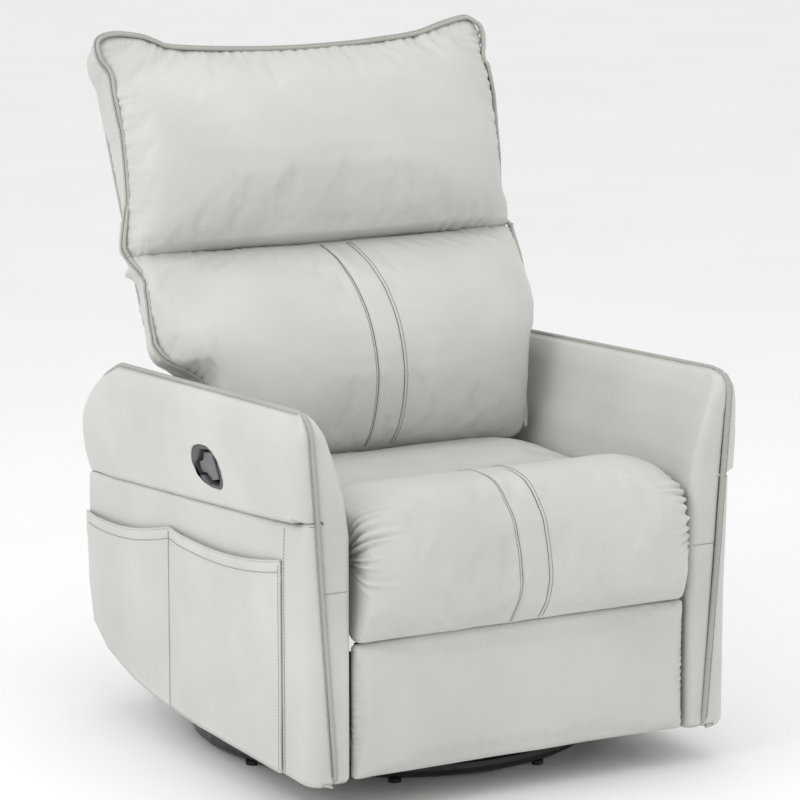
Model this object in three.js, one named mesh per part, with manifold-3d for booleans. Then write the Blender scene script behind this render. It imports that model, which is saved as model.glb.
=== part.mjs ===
// Swivel glider recliner for a nursery. Millimetres, +Z up, the sitter faces -Y.
// Dimensions below are measured from the swivel axis at floor level; the whole chair is then
// moved so that its box is centred on the origin.
import * as THREE from 'three';
import { mergeVertices } from 'three/addons/utils/BufferGeometryUtils.js';
import Module from 'manifold-3d';

const wasm = await Module();
wasm.setup();

// ---- driving dimensions ----
const BOX_CENTRE_Y = 17; // middle of the chair's depth, behind the swivel axis
const GAP = 0.3; // air between pieces that rest on each other
const ARC_STEPS = 4;

const RING_RADIUS = 310;
const RING_TUBE = 12.5;
const FOOT_HEIGHT = 6.2;
const FOOT_HALF_DEPTH = 8;
const FOOT_HALF_WIDTH = 10;
const FOOT_COUNT = 8;
const FOOT_TURN = THREE.MathUtils.degToRad(17);
const RING_Z = FOOT_HEIGHT + GAP + RING_TUBE;
const CROSS_TOP = 32;
const PLATE_RADIUS = 90;
const RACE_TOP = 44;

const PIN = 5; // pivot pin radius
const HOLE = 5.7; // radius of the holes the pins turn in
const SWING_Y = 110; // fore and aft place of the swing link pivots
const SWING_TOP = 158;
const SWING_LOW = 74;

const SEAT_HALF = 281;
const SEAT_REAR = 108;
const SEAT_FRONT = -432;
const DECK_LOW = 297;
const DECK_TOP = 312;
const PLATE_X = 276; // inner face of the mechanism side plates
const PLATE_THICK = 3;

const ARM_INNER = 289; // inner face of the arms at seat height
const ARM_FRONT = -412;
const ARM_CORE_IN = 304;
const ARM_CORE_OUT = 348;
const ARM_OUTER = 361; // outer face of the lower side panel
const ARM_BULGE = 374; // outer face of the padded upper side

const HANDLE_Y = -110;
const HANDLE_Z = 481;

const BACK_Y = 56; // foot of the back's front plane
const BACK_Z = 437;
const BACK_LEAN = Math.atan(0.47);
const CUSHION_DEPTH = 95;
const FULLEST_DEPTH = -130; // the cushions of the back swell forward of its plane, but not past this
const RECLINE_Y = 150;
const RECLINE_Z = 325;
const WING_LOW = 606; // the wings stay above this height to pass over the arms

// Footrest linkage, forward distance and height of its pivots with the footrest stowed.
const DRIVE_TOP = [209, 283];
const DRIVE_LENGTH = 215;
const DRIVE_ANGLE = THREE.MathUtils.degToRad(-115);
const CONTROL_SETBACK = 85;
const FRONT_LENGTH = 240;
const FRONT_ANGLE = THREE.MathUtils.degToRad(25.2);
const STAY_OFFSET = 40;
const TUBE_ALONG = 60;
const LINK_HALF = 10;
const LINK_THICK = 3;
const LAYER_DRIVE = 270; // inner faces of the three layers that the links move in
const LAYER_FRONT = 264;
const LAYER_STAY = 258;

const PAD_HALF = 284;
const PAD_TOP = 262;
const PAD_LOW = 57;

// ---- materials ----
const leather = new THREE.MeshStandardMaterial({ color: 0xcfceca, roughness: 0.5, metalness: 0 });
const blackSteel = new THREE.MeshStandardMaterial({ color: 0x1b1b1c, roughness: 0.45, metalness: 0.6 });
const zincSteel = new THREE.MeshStandardMaterial({ color: 0x9a9c9e, roughness: 0.35, metalness: 0.9 });
const rubber = new THREE.MeshStandardMaterial({ color: 0x141414, roughness: 0.85, metalness: 0 });
const plywood = new THREE.MeshStandardMaterial({ color: 0xc29b68, roughness: 0.7, metalness: 0 });
const bezelPlastic = new THREE.MeshStandardMaterial({ color: 0x58595c, roughness: 0.5, metalness: 0 });
const leverPlastic = new THREE.MeshStandardMaterial({ color: 0x6c6d70, roughness: 0.45, metalness: 0 });

const chair = new THREE.Group();
chair.name = 'glider_nursery_chair';
chair.position.y = -BOX_CENTRE_Y;

// ---- solids, joins and cuts ----
function toSolid(geometry) {
  const bare = geometry.clone();
  bare.deleteAttribute('normal');
  bare.deleteAttribute('uv');
  const merged = mergeVertices(bare, 1e-3);
  const triangles = new Uint32Array(merged.index.array);
  const positions = merged.attributes.position;
  if (signedVolume(positions, triangles) < 0) triangles.reverse();
  const vertProperties = new Float32Array(positions.array);
  return new wasm.Manifold(new wasm.Mesh({ numProp: 3, vertProperties, triVerts: triangles }));
}

function signedVolume(positions, triangles) {
  const a = new THREE.Vector3();
  const b = new THREE.Vector3();
  const c = new THREE.Vector3();
  let sum = 0;
  for (let i = 0; i < triangles.length; i += 3) {
    a.fromBufferAttribute(positions, triangles[i]);
    b.fromBufferAttribute(positions, triangles[i + 1]);
    c.fromBufferAttribute(positions, triangles[i + 2]);
    sum += a.dot(b.cross(c)) / 6;
  }
  return sum;
}

function toGeometry(solid) {
  const mesh = solid.getMesh();
  const geometry = new THREE.BufferGeometry();
  geometry.setAttribute('position', new THREE.BufferAttribute(new Float32Array(mesh.vertProperties), 3));
  geometry.setIndex(new THREE.BufferAttribute(new Uint32Array(mesh.triVerts), 1));
  geometry.computeVertexNormals();
  return geometry;
}

const join = (first, ...rest) => toGeometry(rest.reduce((all, one) => all.add(toSolid(one)), toSolid(first)));
const cut = (first, ...rest) => toGeometry(rest.reduce((all, one) => all.subtract(toSolid(one)), toSolid(first)));
const common = (first, second) => toGeometry(toSolid(first).intersect(toSolid(second)));

function add(name, geometry, material, parent = chair) {
  const mesh = new THREE.Mesh(toGeometry(toSolid(geometry)), material);
  mesh.name = name;
  parent.add(mesh);
  return mesh;
}

// ---- shapes and sheets ----
function polygon(points) {
  return new THREE.Shape(points.map(([u, v]) => new THREE.Vector2(u, v)));
}

function smooth(shape, points) {
  shape.splineThru(points.map(([u, v]) => new THREE.Vector2(u, v)));
}

function capsule([u0, v0], [u1, v1], radius) {
  const angle = Math.atan2(v1 - v0, u1 - u0);
  const shape = new THREE.Shape();
  shape.absarc(u1, v1, radius, angle - Math.PI / 2, angle + Math.PI / 2);
  shape.absarc(u0, v0, radius, angle + Math.PI / 2, angle + 1.5 * Math.PI);
  shape.closePath();
  return shape;
}

const bevelled = (bevel) => ({
  bevelEnabled: bevel > 0,
  bevelThickness: bevel,
  bevelSize: bevel,
  bevelOffset: -bevel,
  bevelSegments: 3,
});

// A shape drawn in (y, z), given thickness along X from x to x + thick.
function alongX(shape, x, thick, bevel = 0) {
  const options = { depth: thick - 2 * bevel, steps: 1, curveSegments: ARC_STEPS, ...bevelled(bevel) };
  const geometry = new THREE.ExtrudeGeometry(shape, options);
  const axes = [new THREE.Vector3(0, 1, 0), new THREE.Vector3(0, 0, 1), new THREE.Vector3(1, 0, 0)];
  geometry.applyMatrix4(new THREE.Matrix4().makeBasis(...axes));
  return geometry.translate(x + bevel, 0, 0);
}

// A shape drawn in (x, z), given thickness along Y from y to y + thick.
function alongY(shape, y, thick, bevel = 0) {
  const options = { depth: thick - 2 * bevel, steps: 1, curveSegments: ARC_STEPS, ...bevelled(bevel) };
  const geometry = new THREE.ExtrudeGeometry(shape, options);
  geometry.rotateX(Math.PI / 2);
  return geometry.translate(0, y + thick - bevel, 0);
}

// A box between two corners.
function box([x0, y0, z0], [x1, y1, z1]) {
  const geometry = new THREE.BoxGeometry(x1 - x0, y1 - y0, z1 - z0);
  return geometry.translate((x0 + x1) / 2, (y0 + y1) / 2, (z0 + z1) / 2);
}

// A round pin along X between two places, with its axis at (y, z).
function pinX(x0, x1, y, z, radius, sides = 16) {
  const geometry = new THREE.CylinderGeometry(radius, radius, Math.abs(x1 - x0), sides);
  geometry.rotateZ(Math.PI / 2);
  return geometry.translate((x0 + x1) / 2, y, z);
}

// A turned solid from a (radius, height) profile about the swivel axis.
function turned(points, segments) {
  const profile = points.map(([r, z]) => new THREE.Vector2(r, z));
  return new THREE.LatheGeometry(profile, segments).rotateX(Math.PI / 2);
}

// The span from near to far, measured outward from the middle plane, on one side of the chair.
const span = (side, near, far) => (side > 0 ? [near, far] : [-far, -near]);

function sheetX(shape, side, near, thick, bevel = 0) {
  return alongX(shape, span(side, near, near + thick)[0], thick, bevel);
}

function sidePin(side, near, far, y, z, radius) {
  const [x0, x1] = span(side, near, far);
  return pinX(x0, x1, y, z, radius);
}

const SIDES = [['left', 1], ['right', -1]];

// ---- base: floor ring, cross, feet and fixed half of the swivel ----
function baseRing() {
  const circle = new THREE.Path();
  circle.absarc(RING_RADIUS, RING_Z, RING_TUBE, 0, 2 * Math.PI);
  const points = circle.getPoints(5).map((p) => [p.x, p.y]);
  points[points.length - 1] = points[0];
  return turned(points, 48);
}

function baseCross() {
  const reach = RING_RADIUS - RING_TUBE - 1.5;
  const bar = box([-reach, -20, CROSS_TOP - 16], [reach, 20, CROSS_TOP]);
  return join(bar, bar.clone().rotateZ(Math.PI / 2));
}

function foot(angle) {
  const pad = new THREE.Shape();
  pad.absellipse(0, 0, FOOT_HALF_DEPTH, FOOT_HALF_WIDTH, 0, 2 * Math.PI);
  const geometry = new THREE.ExtrudeGeometry(pad, { depth: FOOT_HEIGHT, bevelEnabled: false, curveSegments: 6 });
  return geometry.translate(RING_RADIUS, 0, 0).rotateZ(angle);
}

function swivelLowerPlate() {
  const low = CROSS_TOP + GAP;
  const top = low + 4;
  const profile = [[0, low], [PLATE_RADIUS, low], [PLATE_RADIUS, top], [75, top], [75, RACE_TOP],
    [55, RACE_TOP], [55, top], [8, top], [8, 60], [0, 60]];
  return turned(profile, 32);
}

function buildBase() {
  add('base_ring', baseRing(), blackSteel);
  add('base_cross', baseCross(), blackSteel);
  for (let i = 0; i < FOOT_COUNT; i += 1) {
    add(`foot_${i + 1}`, foot(FOOT_TURN + (i * 2 * Math.PI) / FOOT_COUNT), rubber);
  }
  add('swivel_lower_plate', swivelLowerPlate(), zincSteel);
}

// ---- glider bed: turning half of the swivel, cross bars and rocker brackets ----
const BED_LOW = RACE_TOP + 2 * GAP + 4;
const BRACKET_X = 200;

function swivelUpperPlate() {
  const low = RACE_TOP + GAP;
  const profile = [[9, low], [PLATE_RADIUS, low], [PLATE_RADIUS, low + 4], [9, low + 4], [9, low]];
  return turned(profile, 32);
}

function gliderBed() {
  const barTop = BED_LOW + 25;
  const rear = box([-BRACKET_X + GAP, 40, BED_LOW], [BRACKET_X - GAP, 80, barTop]);
  const front = box([-BRACKET_X + GAP, -80, BED_LOW], [BRACKET_X - GAP, -40, barTop]);
  const centre = box([-60, -50, BED_LOW], [60, 50, BED_LOW + 4]);
  const bore = turned([[0, BED_LOW - 5], [9, BED_LOW - 5], [9, BED_LOW + 20], [0, BED_LOW + 20]], 16);
  return cut(join(rear, front, centre), bore);
}

function rockerBracket(side) {
  const outline = [[-85, BED_LOW], [85, BED_LOW], [130, 150], [130, 172], [-130, 172], [-130, 150]];
  const plate = sheetX(polygon(outline), side, BRACKET_X, 5);
  const holes = [-SWING_Y, SWING_Y].map((y) => sidePin(side, BRACKET_X - 5, BRACKET_X + 10, y, SWING_TOP, HOLE));
  return cut(plate, ...holes);
}

// A strap with an upper pin through the bracket and a lower pin through the carriage plate.
function swingLink(side, y) {
  const strap = sheetX(capsule([y, SWING_TOP], [y, SWING_LOW], 12), side, 208, 5);
  const upper = sidePin(side, 198, 212, y, SWING_TOP, PIN);
  const lower = sidePin(side, 209, 223, y, SWING_LOW, PIN);
  return join(strap, upper, lower);
}

function buildGlider() {
  add('swivel_upper_plate', swivelUpperPlate(), zincSteel);
  add('glider_bed', gliderBed(), blackSteel);
  for (const [word, side] of SIDES) {
    add(`rocker_bracket_${word}`, rockerBracket(side), blackSteel);
    add(`swing_link_front_${word}`, swingLink(side, -SWING_Y), zincSteel);
    add(`swing_link_rear_${word}`, swingLink(side, SWING_Y), zincSteel);
  }
}

// ---- seat box: carriage plates, side plates, deck, springs, cushion and rear panel ----
const forward = ([f, z]) => [-f, z]; // forward distance to Y

function carriagePlate(side) {
  const top = DECK_LOW - GAP;
  const outline = [[-135, 60], [135, 60], [160, 90], [160, top], [-160, top], [-160, 90]];
  const plate = sheetX(polygon(outline), side, 216, 5);
  const holes = [-SWING_Y, SWING_Y].map((y) => sidePin(side, 210, 226, y, SWING_LOW, HOLE));
  return cut(plate, ...holes);
}

function mechanismPlate(side) {
  const outline = [[-235, 262], [150, 262], [180, 300], [180, 345], [122, 345], [114, 311], [-225, 311], [-235, 300]];
  const plate = sheetX(polygon(outline), side, PLATE_X, PLATE_THICK);
  const pivots = [forward(DRIVE_TOP), forward(controlTop()), [RECLINE_Y, RECLINE_Z]];
  const holes = pivots.map(([y, z]) => sidePin(side, PLATE_X - 3, PLATE_X + 6, y, z, HOLE));
  return side > 0 ? cut(plate, ...holes) : cut(plate, ...holes, sidePin(side, 270, 285, PAWL_Y, PAWL_Z, 4.7));
}

function seatDeck() {
  const half = PLATE_X - 0.5;
  const board = box([-half, -372, DECK_LOW], [half, 100, DECK_TOP]);
  return cut(board, box([-215, -330, DECK_LOW - 5], [215, 60, DECK_TOP + 5]));
}

// Four sinuous wires from front to rear, held by two tie wires.
function seatSprings() {
  const low = DECK_TOP - 3;
  const wire = 4;
  const turns = 16;
  const pitch = 388 / turns;
  const wires = [-150, -50, 50, 150].map((x) => {
    const line = Array.from({ length: turns + 1 }, (_, i) => [x + (i % 2 ? 20 : -20), -329 + i * pitch]);
    const back = line.slice().reverse().map(([u, v]) => [u + 2 * wire, v]);
    const shape = polygon([...line, ...back]);
    return new THREE.ExtrudeGeometry(shape, { depth: 3, bevelEnabled: false }).translate(0, 0, low);
  });
  const ties = [-190, -60].map((y) => box([-200, y, low], [200, y + wire, low + 3]));
  return join(...wires, ...ties);
}

function seatCushion() {
  const side = new THREE.Shape();
  side.moveTo(-373.5, DECK_TOP + 1);
  side.lineTo(SEAT_REAR - 8, DECK_TOP + 1);
  side.lineTo(SEAT_REAR, 325);
  side.lineTo(SEAT_REAR, 402);
  side.lineTo(56, 429);
  smooth(side, [[-60, 433], [-170, 438], [-240, 452], [-310, 465], [-365, 461], [-410, 438], [SEAT_FRONT, 392]]);
  smooth(side, [[SEAT_FRONT + 1, 345], [-424, 300], [-410, 272], [-396, 266]]);
  side.lineTo(-373.5, 266);
  side.closePath();
  return alongX(side, -SEAT_HALF, 2 * SEAT_HALF, 12);
}

function buildSeat() {
  for (const [word, side] of SIDES) {
    add(`carriage_plate_${word}`, carriagePlate(side), blackSteel);
    add(`mechanism_plate_${word}`, mechanismPlate(side), zincSteel);
  }
  add('seat_deck', seatDeck(), plywood);
  add('seat_springs', seatSprings(), zincSteel);
  add('seat_cushion', seatCushion(), leather);
  add('rear_panel', box([-286, 330, 100], [286, 345, 350]), leather);
}

// ---- arms ----
function lowerSide() {
  const shape = new THREE.Shape();
  shape.moveTo(ARM_FRONT, 66);
  shape.lineTo(ARM_FRONT + 14, 55);
  shape.lineTo(-42, 56);
  smooth(shape, [[104, 62], [198, 75], [286, 99], [344, 136]]);
  smooth(shape, [[359, 198], [371, 290], [372, 376]]);
  shape.lineTo(-309, 438);
  shape.lineTo(ARM_FRONT, 449);
  return shape;
}

function upperSide() {
  const shape = new THREE.Shape();
  shape.moveTo(ARM_FRONT, 452);
  shape.lineTo(-309, 441);
  shape.lineTo(372, 379);
  smooth(shape, [[386, 398], [392, 425], [380, 462], [357, 497], [316, 536], [255, 567]]);
  shape.lineTo(-376, 606);
  smooth(shape, [[-400, 602], [ARM_FRONT, 586]]);
  return shape;
}

// The whole side of the arm, for the inner padding and the core.
function wholeSide(inset) {
  const shape = new THREE.Shape();
  shape.moveTo(ARM_FRONT + inset, 56 + inset);
  shape.lineTo(-42, 56 + inset);
  smooth(shape, [[198, 75 + inset], [286, 100 + inset], [344 - inset, 140 + inset]]);
  shape.lineTo(372 - inset, 300);
  shape.lineTo(390 - inset, 425);
  smooth(shape, [[357 - inset, 497 - inset], [316 - inset, 536 - inset], [255, 567 - inset]]);
  shape.lineTo(-376, 606 - inset);
  smooth(shape, [[-400 + inset, 602 - inset], [ARM_FRONT + inset, 586 - inset]]);
  return shape;
}

const mirror = (points, side) => points.map(([u, v]) => [u * side, v]);

function armPiece(section, side, silhouette) {
  const bar = alongY(polygon(mirror(section, side)), ARM_FRONT, 830);
  const [x0] = span(side, ARM_INNER - 10, ARM_BULGE + 10);
  return common(bar, alongX(silhouette, x0, ARM_BULGE - ARM_INNER + 20));
}

function armInnerPad(side) {
  const section = [[ARM_INNER, 50], [303, 50], [303, 430], [312, 480], [326, 530], [338, 565], [350, 610],
    [336, 600], [326, 575], [311, 530], [297, 480], [ARM_INNER, 425]];
  const pad = armPiece(section, side, wholeSide(0));
  return side > 0 ? pad : cut(pad, pinX(-310, -285, HANDLE_Y, PAWL_Z - 4, 8));
}

// The hollow box frame of the arm is drawn as one core with the cable's channel in it.
function armFrame(side) {
  const section = [[ARM_CORE_IN, 50], [ARM_CORE_OUT, 50], [ARM_CORE_OUT, 490], [316, 490], [ARM_CORE_IN, 432]];
  const core = armPiece(section, side, wholeSide(14));
  if (side > 0) return core;
  const channel = box([-334, HANDLE_Y - 7, PAWL_Z - 18], [-300, HANDLE_Y + 7, 493]);
  return cut(core, channel, pinX(-350, -320, HANDLE_Y, HANDLE_Z, 6));
}

function armLowerCover(side) {
  return sheetX(lowerSide(), side, ARM_CORE_OUT + 1, ARM_OUTER - ARM_CORE_OUT - 1);
}

function armUpperCover(side) {
  const section = [[ARM_CORE_OUT + 1, 370], [366, 370], [ARM_BULGE - 2, 450], [ARM_BULGE, 510], [371, 560],
    [360, 598], [353, 610], [344, 575], [333, 535], [323, 498], [ARM_CORE_OUT + 1, 491]];
  const pad = armPiece(section, side, upperSide());
  return side > 0 ? pad : cut(pad, sheetX(handleOutline(1), -1, ARM_CORE_OUT - 5, 60));
}

function buildArms() {
  for (const [word, side] of SIDES) {
    add(`arm_frame_${word}`, armFrame(side), plywood);
    add(`arm_inner_pad_${word}`, armInnerPad(side), leather);
    add(`arm_lower_cover_${word}`, armLowerCover(side), leather);
    add(`arm_upper_cover_${word}`, armUpperCover(side), leather);
  }
}

// ---- side pocket: a tray of leather with two mouths, on the outside of the right arm ----
const POCKET_DEPTH = 7.5;
const POCKET_WALL = 2.7;
const POCKET_SPLIT = 51;

function pocketOutline(inset, drop) {
  const shape = new THREE.Shape();
  shape.moveTo(-330 + inset, 59 + inset);
  shape.lineTo(-42, 59 + inset);
  smooth(shape, [[104, 65 + inset], [198, 78 + inset], [284, 103 + inset], [340 - inset, 139 + inset]]);
  smooth(shape, [[355 - inset, 200], [369 - inset, 313 - drop]]);
  shape.quadraticCurveTo(200, 320 - drop, POCKET_SPLIT, 351 - drop);
  shape.quadraticCurveTo(-120, 364 - drop, -330 + inset, 381 - drop);
  return shape;
}

function sidePocket() {
  const near = ARM_OUTER + GAP;
  const shell = sheetX(pocketOutline(0, 0), -1, near, POCKET_DEPTH + POCKET_WALL);
  const hollow = sheetX(pocketOutline(6, -20), -1, near - 5, POCKET_DEPTH + 5);
  const [x0, x1] = span(-1, near, near + POCKET_DEPTH + 1);
  const divider = box([x0, POCKET_SPLIT - 3, 64], [x1, POCKET_SPLIT + 3, 345]);
  return join(cut(shell, hollow), divider);
}

// ---- release handle, cable and latch ----
const PAWL_Y = -70;
const PAWL_Z = 285;

// The cup's outline, a leaf with two rounded corners; scale 1 is the edge of the rim.
function handleOutline(scale) {
  const at = (y, z) => [HANDLE_Y + scale * y, HANDLE_Z + scale * z];
  const shape = new THREE.Shape();
  shape.moveTo(...at(50, 21));
  shape.quadraticCurveTo(...at(30, 33), ...at(-4, 32.5));
  shape.bezierCurveTo(...at(-34, 31), ...at(-57, 6), ...at(-58, -13));
  shape.quadraticCurveTo(...at(-58, -26), ...at(-46, -29));
  shape.bezierCurveTo(...at(-6, -34), ...at(34, -30), ...at(52, -6));
  shape.quadraticCurveTo(...at(60, 8), ...at(50, 21));
  return shape;
}

const CUP_NEAR = ARM_CORE_OUT + GAP;
const LEVER_NEAR = CUP_NEAR + 17;
const LEVER_THICK = 6;
const LEVER_HINGE = [28, -7]; // a point on the lever's hinge line, from the cup's centre
const LEVER_TILT = Math.atan2(0.81, 0.59); // slope of the hinge line in the plane of the arm's side

const inCup = ([y, z]) => [HANDLE_Y + y, HANDLE_Z + z];

function handleBezel() {
  const rim = sheetX(handleOutline(0.985), -1, CUP_NEAR, 28.5);
  const opening = [[24, 21], [-6, 25], [-34, 14], [-47, -8], [-44, -23], [-10, -26], [6, -17], [30, -20],
    [41, -4], [27, 8]];
  return cut(rim, sheetX(polygon(opening.map(inCup)), -1, CUP_NEAR + 4, 40));
}

// The finger paddle in the cup, hinged along its rear end and pulled outward from the front.
function releaseLever() {
  const outline = [[20, 16], [-6, 20], [-22, 0], [-31, -16], [-10, -21], [9, -13], [27, -15], [36, -1], [22, 4]];
  const blade = sheetX(polygon(outline.map(inCup)), -1, LEVER_NEAR, LEVER_THICK);
  const barrel = new THREE.CylinderGeometry(3.4, 3.4, 12, 12).rotateX(LEVER_TILT);
  const [y, z] = inCup(LEVER_HINGE);
  return join(blade, barrel.translate(-LEVER_NEAR - LEVER_THICK / 2, y, z));
}

function releaseCable() {
  const path = new THREE.CatmullRomCurve3([
    [-347.8, HANDLE_Z], [-332, HANDLE_Z], [-319, 472], [-315, 440], [-310, 380], [-309, 310],
    [-308, 292], [-303, 283], [-296, PAWL_Z - 4], [-286.2, PAWL_Z - 4],
  ].map(([x, z]) => new THREE.Vector3(x, HANDLE_Y, z)));
  const section = new THREE.Shape();
  section.absarc(0, 0, 2.5, 0, 2 * Math.PI);
  return new THREE.ExtrudeGeometry(section, { steps: 28, curveSegments: 4, extrudePath: path });
}

function latchPawl() {
  const arm = sheetX(capsule([PAWL_Y, PAWL_Z], [HANDLE_Y, PAWL_Z - 4], 7), -1, 280.5, 4.5);
  return join(arm, pinX(-282, -274.6, PAWL_Y, PAWL_Z, 4));
}

function buildHandle() {
  add('side_pocket', sidePocket(), leather);
  add('handle_bezel', handleBezel(), bezelPlastic);
  add('release_lever', releaseLever(), leverPlastic);
  add('release_cable', releaseCable(), blackSteel);
  add('latch_pawl', latchPawl(), zincSteel);
}

// ---- footrest linkage: two parallelograms in series on each side ----
const polar = ([f, z], length, angle) => [f + length * Math.cos(angle), z + length * Math.sin(angle)];
const driveLow = () => polar(DRIVE_TOP, DRIVE_LENGTH, DRIVE_ANGLE);
const drivePin = () => polar(DRIVE_TOP, DRIVE_LENGTH - STAY_OFFSET, DRIVE_ANGLE);
const controlTop = () => [DRIVE_TOP[0] - CONTROL_SETBACK, DRIVE_TOP[1]];
const controlLow = () => polar(controlTop(), DRIVE_LENGTH, DRIVE_ANGLE);
const frontEnd = () => polar(driveLow(), FRONT_LENGTH, FRONT_ANGLE);
const stayEnd = () => polar(frontEnd(), -STAY_OFFSET, DRIVE_ANGLE);

function link(side, near, from, to) {
  return sheetX(capsule(forward(from), forward(to), LINK_HALF), side, near, LINK_THICK);
}

function linkPin(side, near, far, at, radius = PIN) {
  const [y, z] = forward(at);
  return sidePin(side, near, far, y, z, radius);
}

const FAR = PLATE_X + PLATE_THICK + 1;

function driveLink(side) {
  const strap = link(side, LAYER_DRIVE, DRIVE_TOP, driveLow());
  const holes = [driveLow(), drivePin()].map((at) => linkPin(side, 260, 280, at, HOLE));
  return join(cut(strap, ...holes), linkPin(side, LAYER_DRIVE + 1, FAR, DRIVE_TOP));
}

function controlLink(side) {
  const strap = link(side, LAYER_DRIVE, controlTop(), controlLow());
  const lower = linkPin(side, LAYER_FRONT - 1, LAYER_DRIVE + 1, controlLow());
  return join(strap, linkPin(side, LAYER_DRIVE + 1, FAR, controlTop()), lower);
}

function frontLink(side) {
  const rear = link(side, LAYER_FRONT, controlLow(), driveLow());
  const front = link(side, LAYER_FRONT, driveLow(), frontEnd());
  const hole = linkPin(side, 255, 280, controlLow(), HOLE + 0.5);
  const pin = linkPin(side, LAYER_FRONT + 1, LAYER_DRIVE + 4, driveLow());
  return join(cut(join(rear, front), hole), pin, linkPin(side, LAYER_FRONT + 1, LAYER_DRIVE + 4, frontEnd()));
}

function stayLink(side) {
  const knee = [drivePin()[0] + 52, drivePin()[1]];
  const rear = link(side, LAYER_STAY, drivePin(), knee);
  const front = link(side, LAYER_STAY, knee, stayEnd());
  const hole = linkPin(side, 250, 270, stayEnd(), HOLE);
  return join(cut(join(rear, front), hole), linkPin(side, LAYER_STAY + 1, LAYER_DRIVE + 4, drivePin()));
}

function torqueTube() {
  const [y, z] = forward(polar(DRIVE_TOP, TUBE_ALONG, DRIVE_ANGLE));
  return pinX(-LAYER_DRIVE + GAP, LAYER_DRIVE - GAP, y, z, 8);
}

const BOARD_REAR = 372;
const BOARD_FRONT = 384.7;

function footrestBracket(side) {
  const [f, z] = frontEnd();
  const ear = [[f - 12, z - 14], [f - 12, z + 26], [f + 6, z + 52], [BOARD_REAR - GAP, z + 52],
    [BOARD_REAR - GAP, z - 62], [f + 12, z - 30]];
  const plate = sheetX(polygon(ear.map(forward)), side, LAYER_DRIVE, LINK_THICK);
  const [x0, x1] = span(side, 225, LAYER_DRIVE + LINK_THICK);
  const flange = box([x0, -BOARD_REAR + GAP, z - 62], [x1, -BOARD_REAR + GAP + LINK_THICK, z + 52]);
  const hole = linkPin(side, 262, 280, frontEnd(), HOLE);
  return join(cut(join(plate, flange), hole), linkPin(side, LAYER_STAY - 1, LAYER_DRIVE + 1, stayEnd(), PIN - 0.3));
}

function footrestPad() {
  const face = polygon([[-PAD_HALF, PAD_LOW], [PAD_HALF, PAD_LOW], [PAD_HALF, PAD_TOP], [-PAD_HALF, PAD_TOP]]);
  return alongY(face, ARM_FRONT - 1, -BOARD_FRONT - GAP - ARM_FRONT + 1, 7);
}

function buildFootrest() {
  for (const [word, side] of SIDES) {
    add(`drive_link_${word}`, driveLink(side), zincSteel);
    add(`control_link_${word}`, controlLink(side), zincSteel);
    add(`front_link_${word}`, frontLink(side), zincSteel);
    add(`stay_link_${word}`, stayLink(side), zincSteel);
    add(`footrest_bracket_${word}`, footrestBracket(side), zincSteel);
  }
  add('torque_tube', torqueTube(), blackSteel);
  add('footrest_board', box([-266, -BOARD_FRONT, 62], [266, -BOARD_REAR, 256]), plywood);
  add('footrest_pad', footrestPad(), leather);
}

// ---- back: cushions, frame, brackets and rear cover, in the leaning frame of the back ----
const back = new THREE.Group();
back.position.set(0, BACK_Y, BACK_Z);
back.rotation.x = -BACK_LEAN;
chair.add(back);

// Height along the back, at a depth behind its front plane, of a level plane.
const alongBack = (z, depth) => (z - BACK_Z) / Math.cos(BACK_LEAN) + depth * Math.tan(BACK_LEAN);

// The back narrows towards its rear: (half width, depth) pairs.
function narrowed(geometry) {
  const half = [[352, FULLEST_DEPTH], [352, 42], [322, CUSHION_DEPTH], [306, 135]];
  const plan = polygon([...half, ...half.slice().reverse().map(([u, v]) => [-u, v])]);
  const prism = new THREE.ExtrudeGeometry(plan, { depth: 900, bevelEnabled: false });
  return common(geometry, prism.translate(0, 0, -120));
}

const symmetric = (half) => [...half, ...half.slice().reverse().map(([u, v]) => [-u, v])];

// Cuts the wings level above the arms.
function raiseWings(geometry) {
  const low = -120;
  const wedge = polygon([[FULLEST_DEPTH, low], [190, low], [190, alongBack(WING_LOW, 190)],
    [FULLEST_DEPTH, alongBack(WING_LOW, FULLEST_DEPTH)]]);
  return cut(geometry, ...SIDES.map(([, side]) => sheetX(wedge, side, 283, 90)));
}

// The value at a key in a list of [key, value] pairs, in straight lines between them.
function read(table, key) {
  const next = Math.max(1, table.findIndex(([k]) => k >= key));
  const [[k0, v0], [k1, v1]] = [table[next - 1], table[next]];
  return v0 + ((v1 - v0) * (key - k0)) / (k1 - k0);
}

// Depth of the welted rim of both cushions, at each height along the back.
const RIM = [[-4, 0], [160, -2], [220, 13], [300, 16], [350, 34], [420, 26], [500, 4], [570, -10], [712, -15]];
const PILLOW_ROWS = 12;
const PILLOW_COLUMNS = 8;

// One face of a cushion as a grid of points, at the depth that a rule gives.
function pillowGrid([low, high], halfWidths, depthAt) {
  const positions = [];
  for (let r = 0; r <= PILLOW_ROWS; r += 1) {
    const height = low + ((high - low) * r) / PILLOW_ROWS;
    for (let c = 0; c <= PILLOW_COLUMNS; c += 1) {
      const across = Math.sin((Math.PI * c) / PILLOW_COLUMNS - Math.PI / 2);
      positions.push(across * read(halfWidths, height), depthAt(across, height), height);
    }
  }
  return positions;
}

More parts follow.
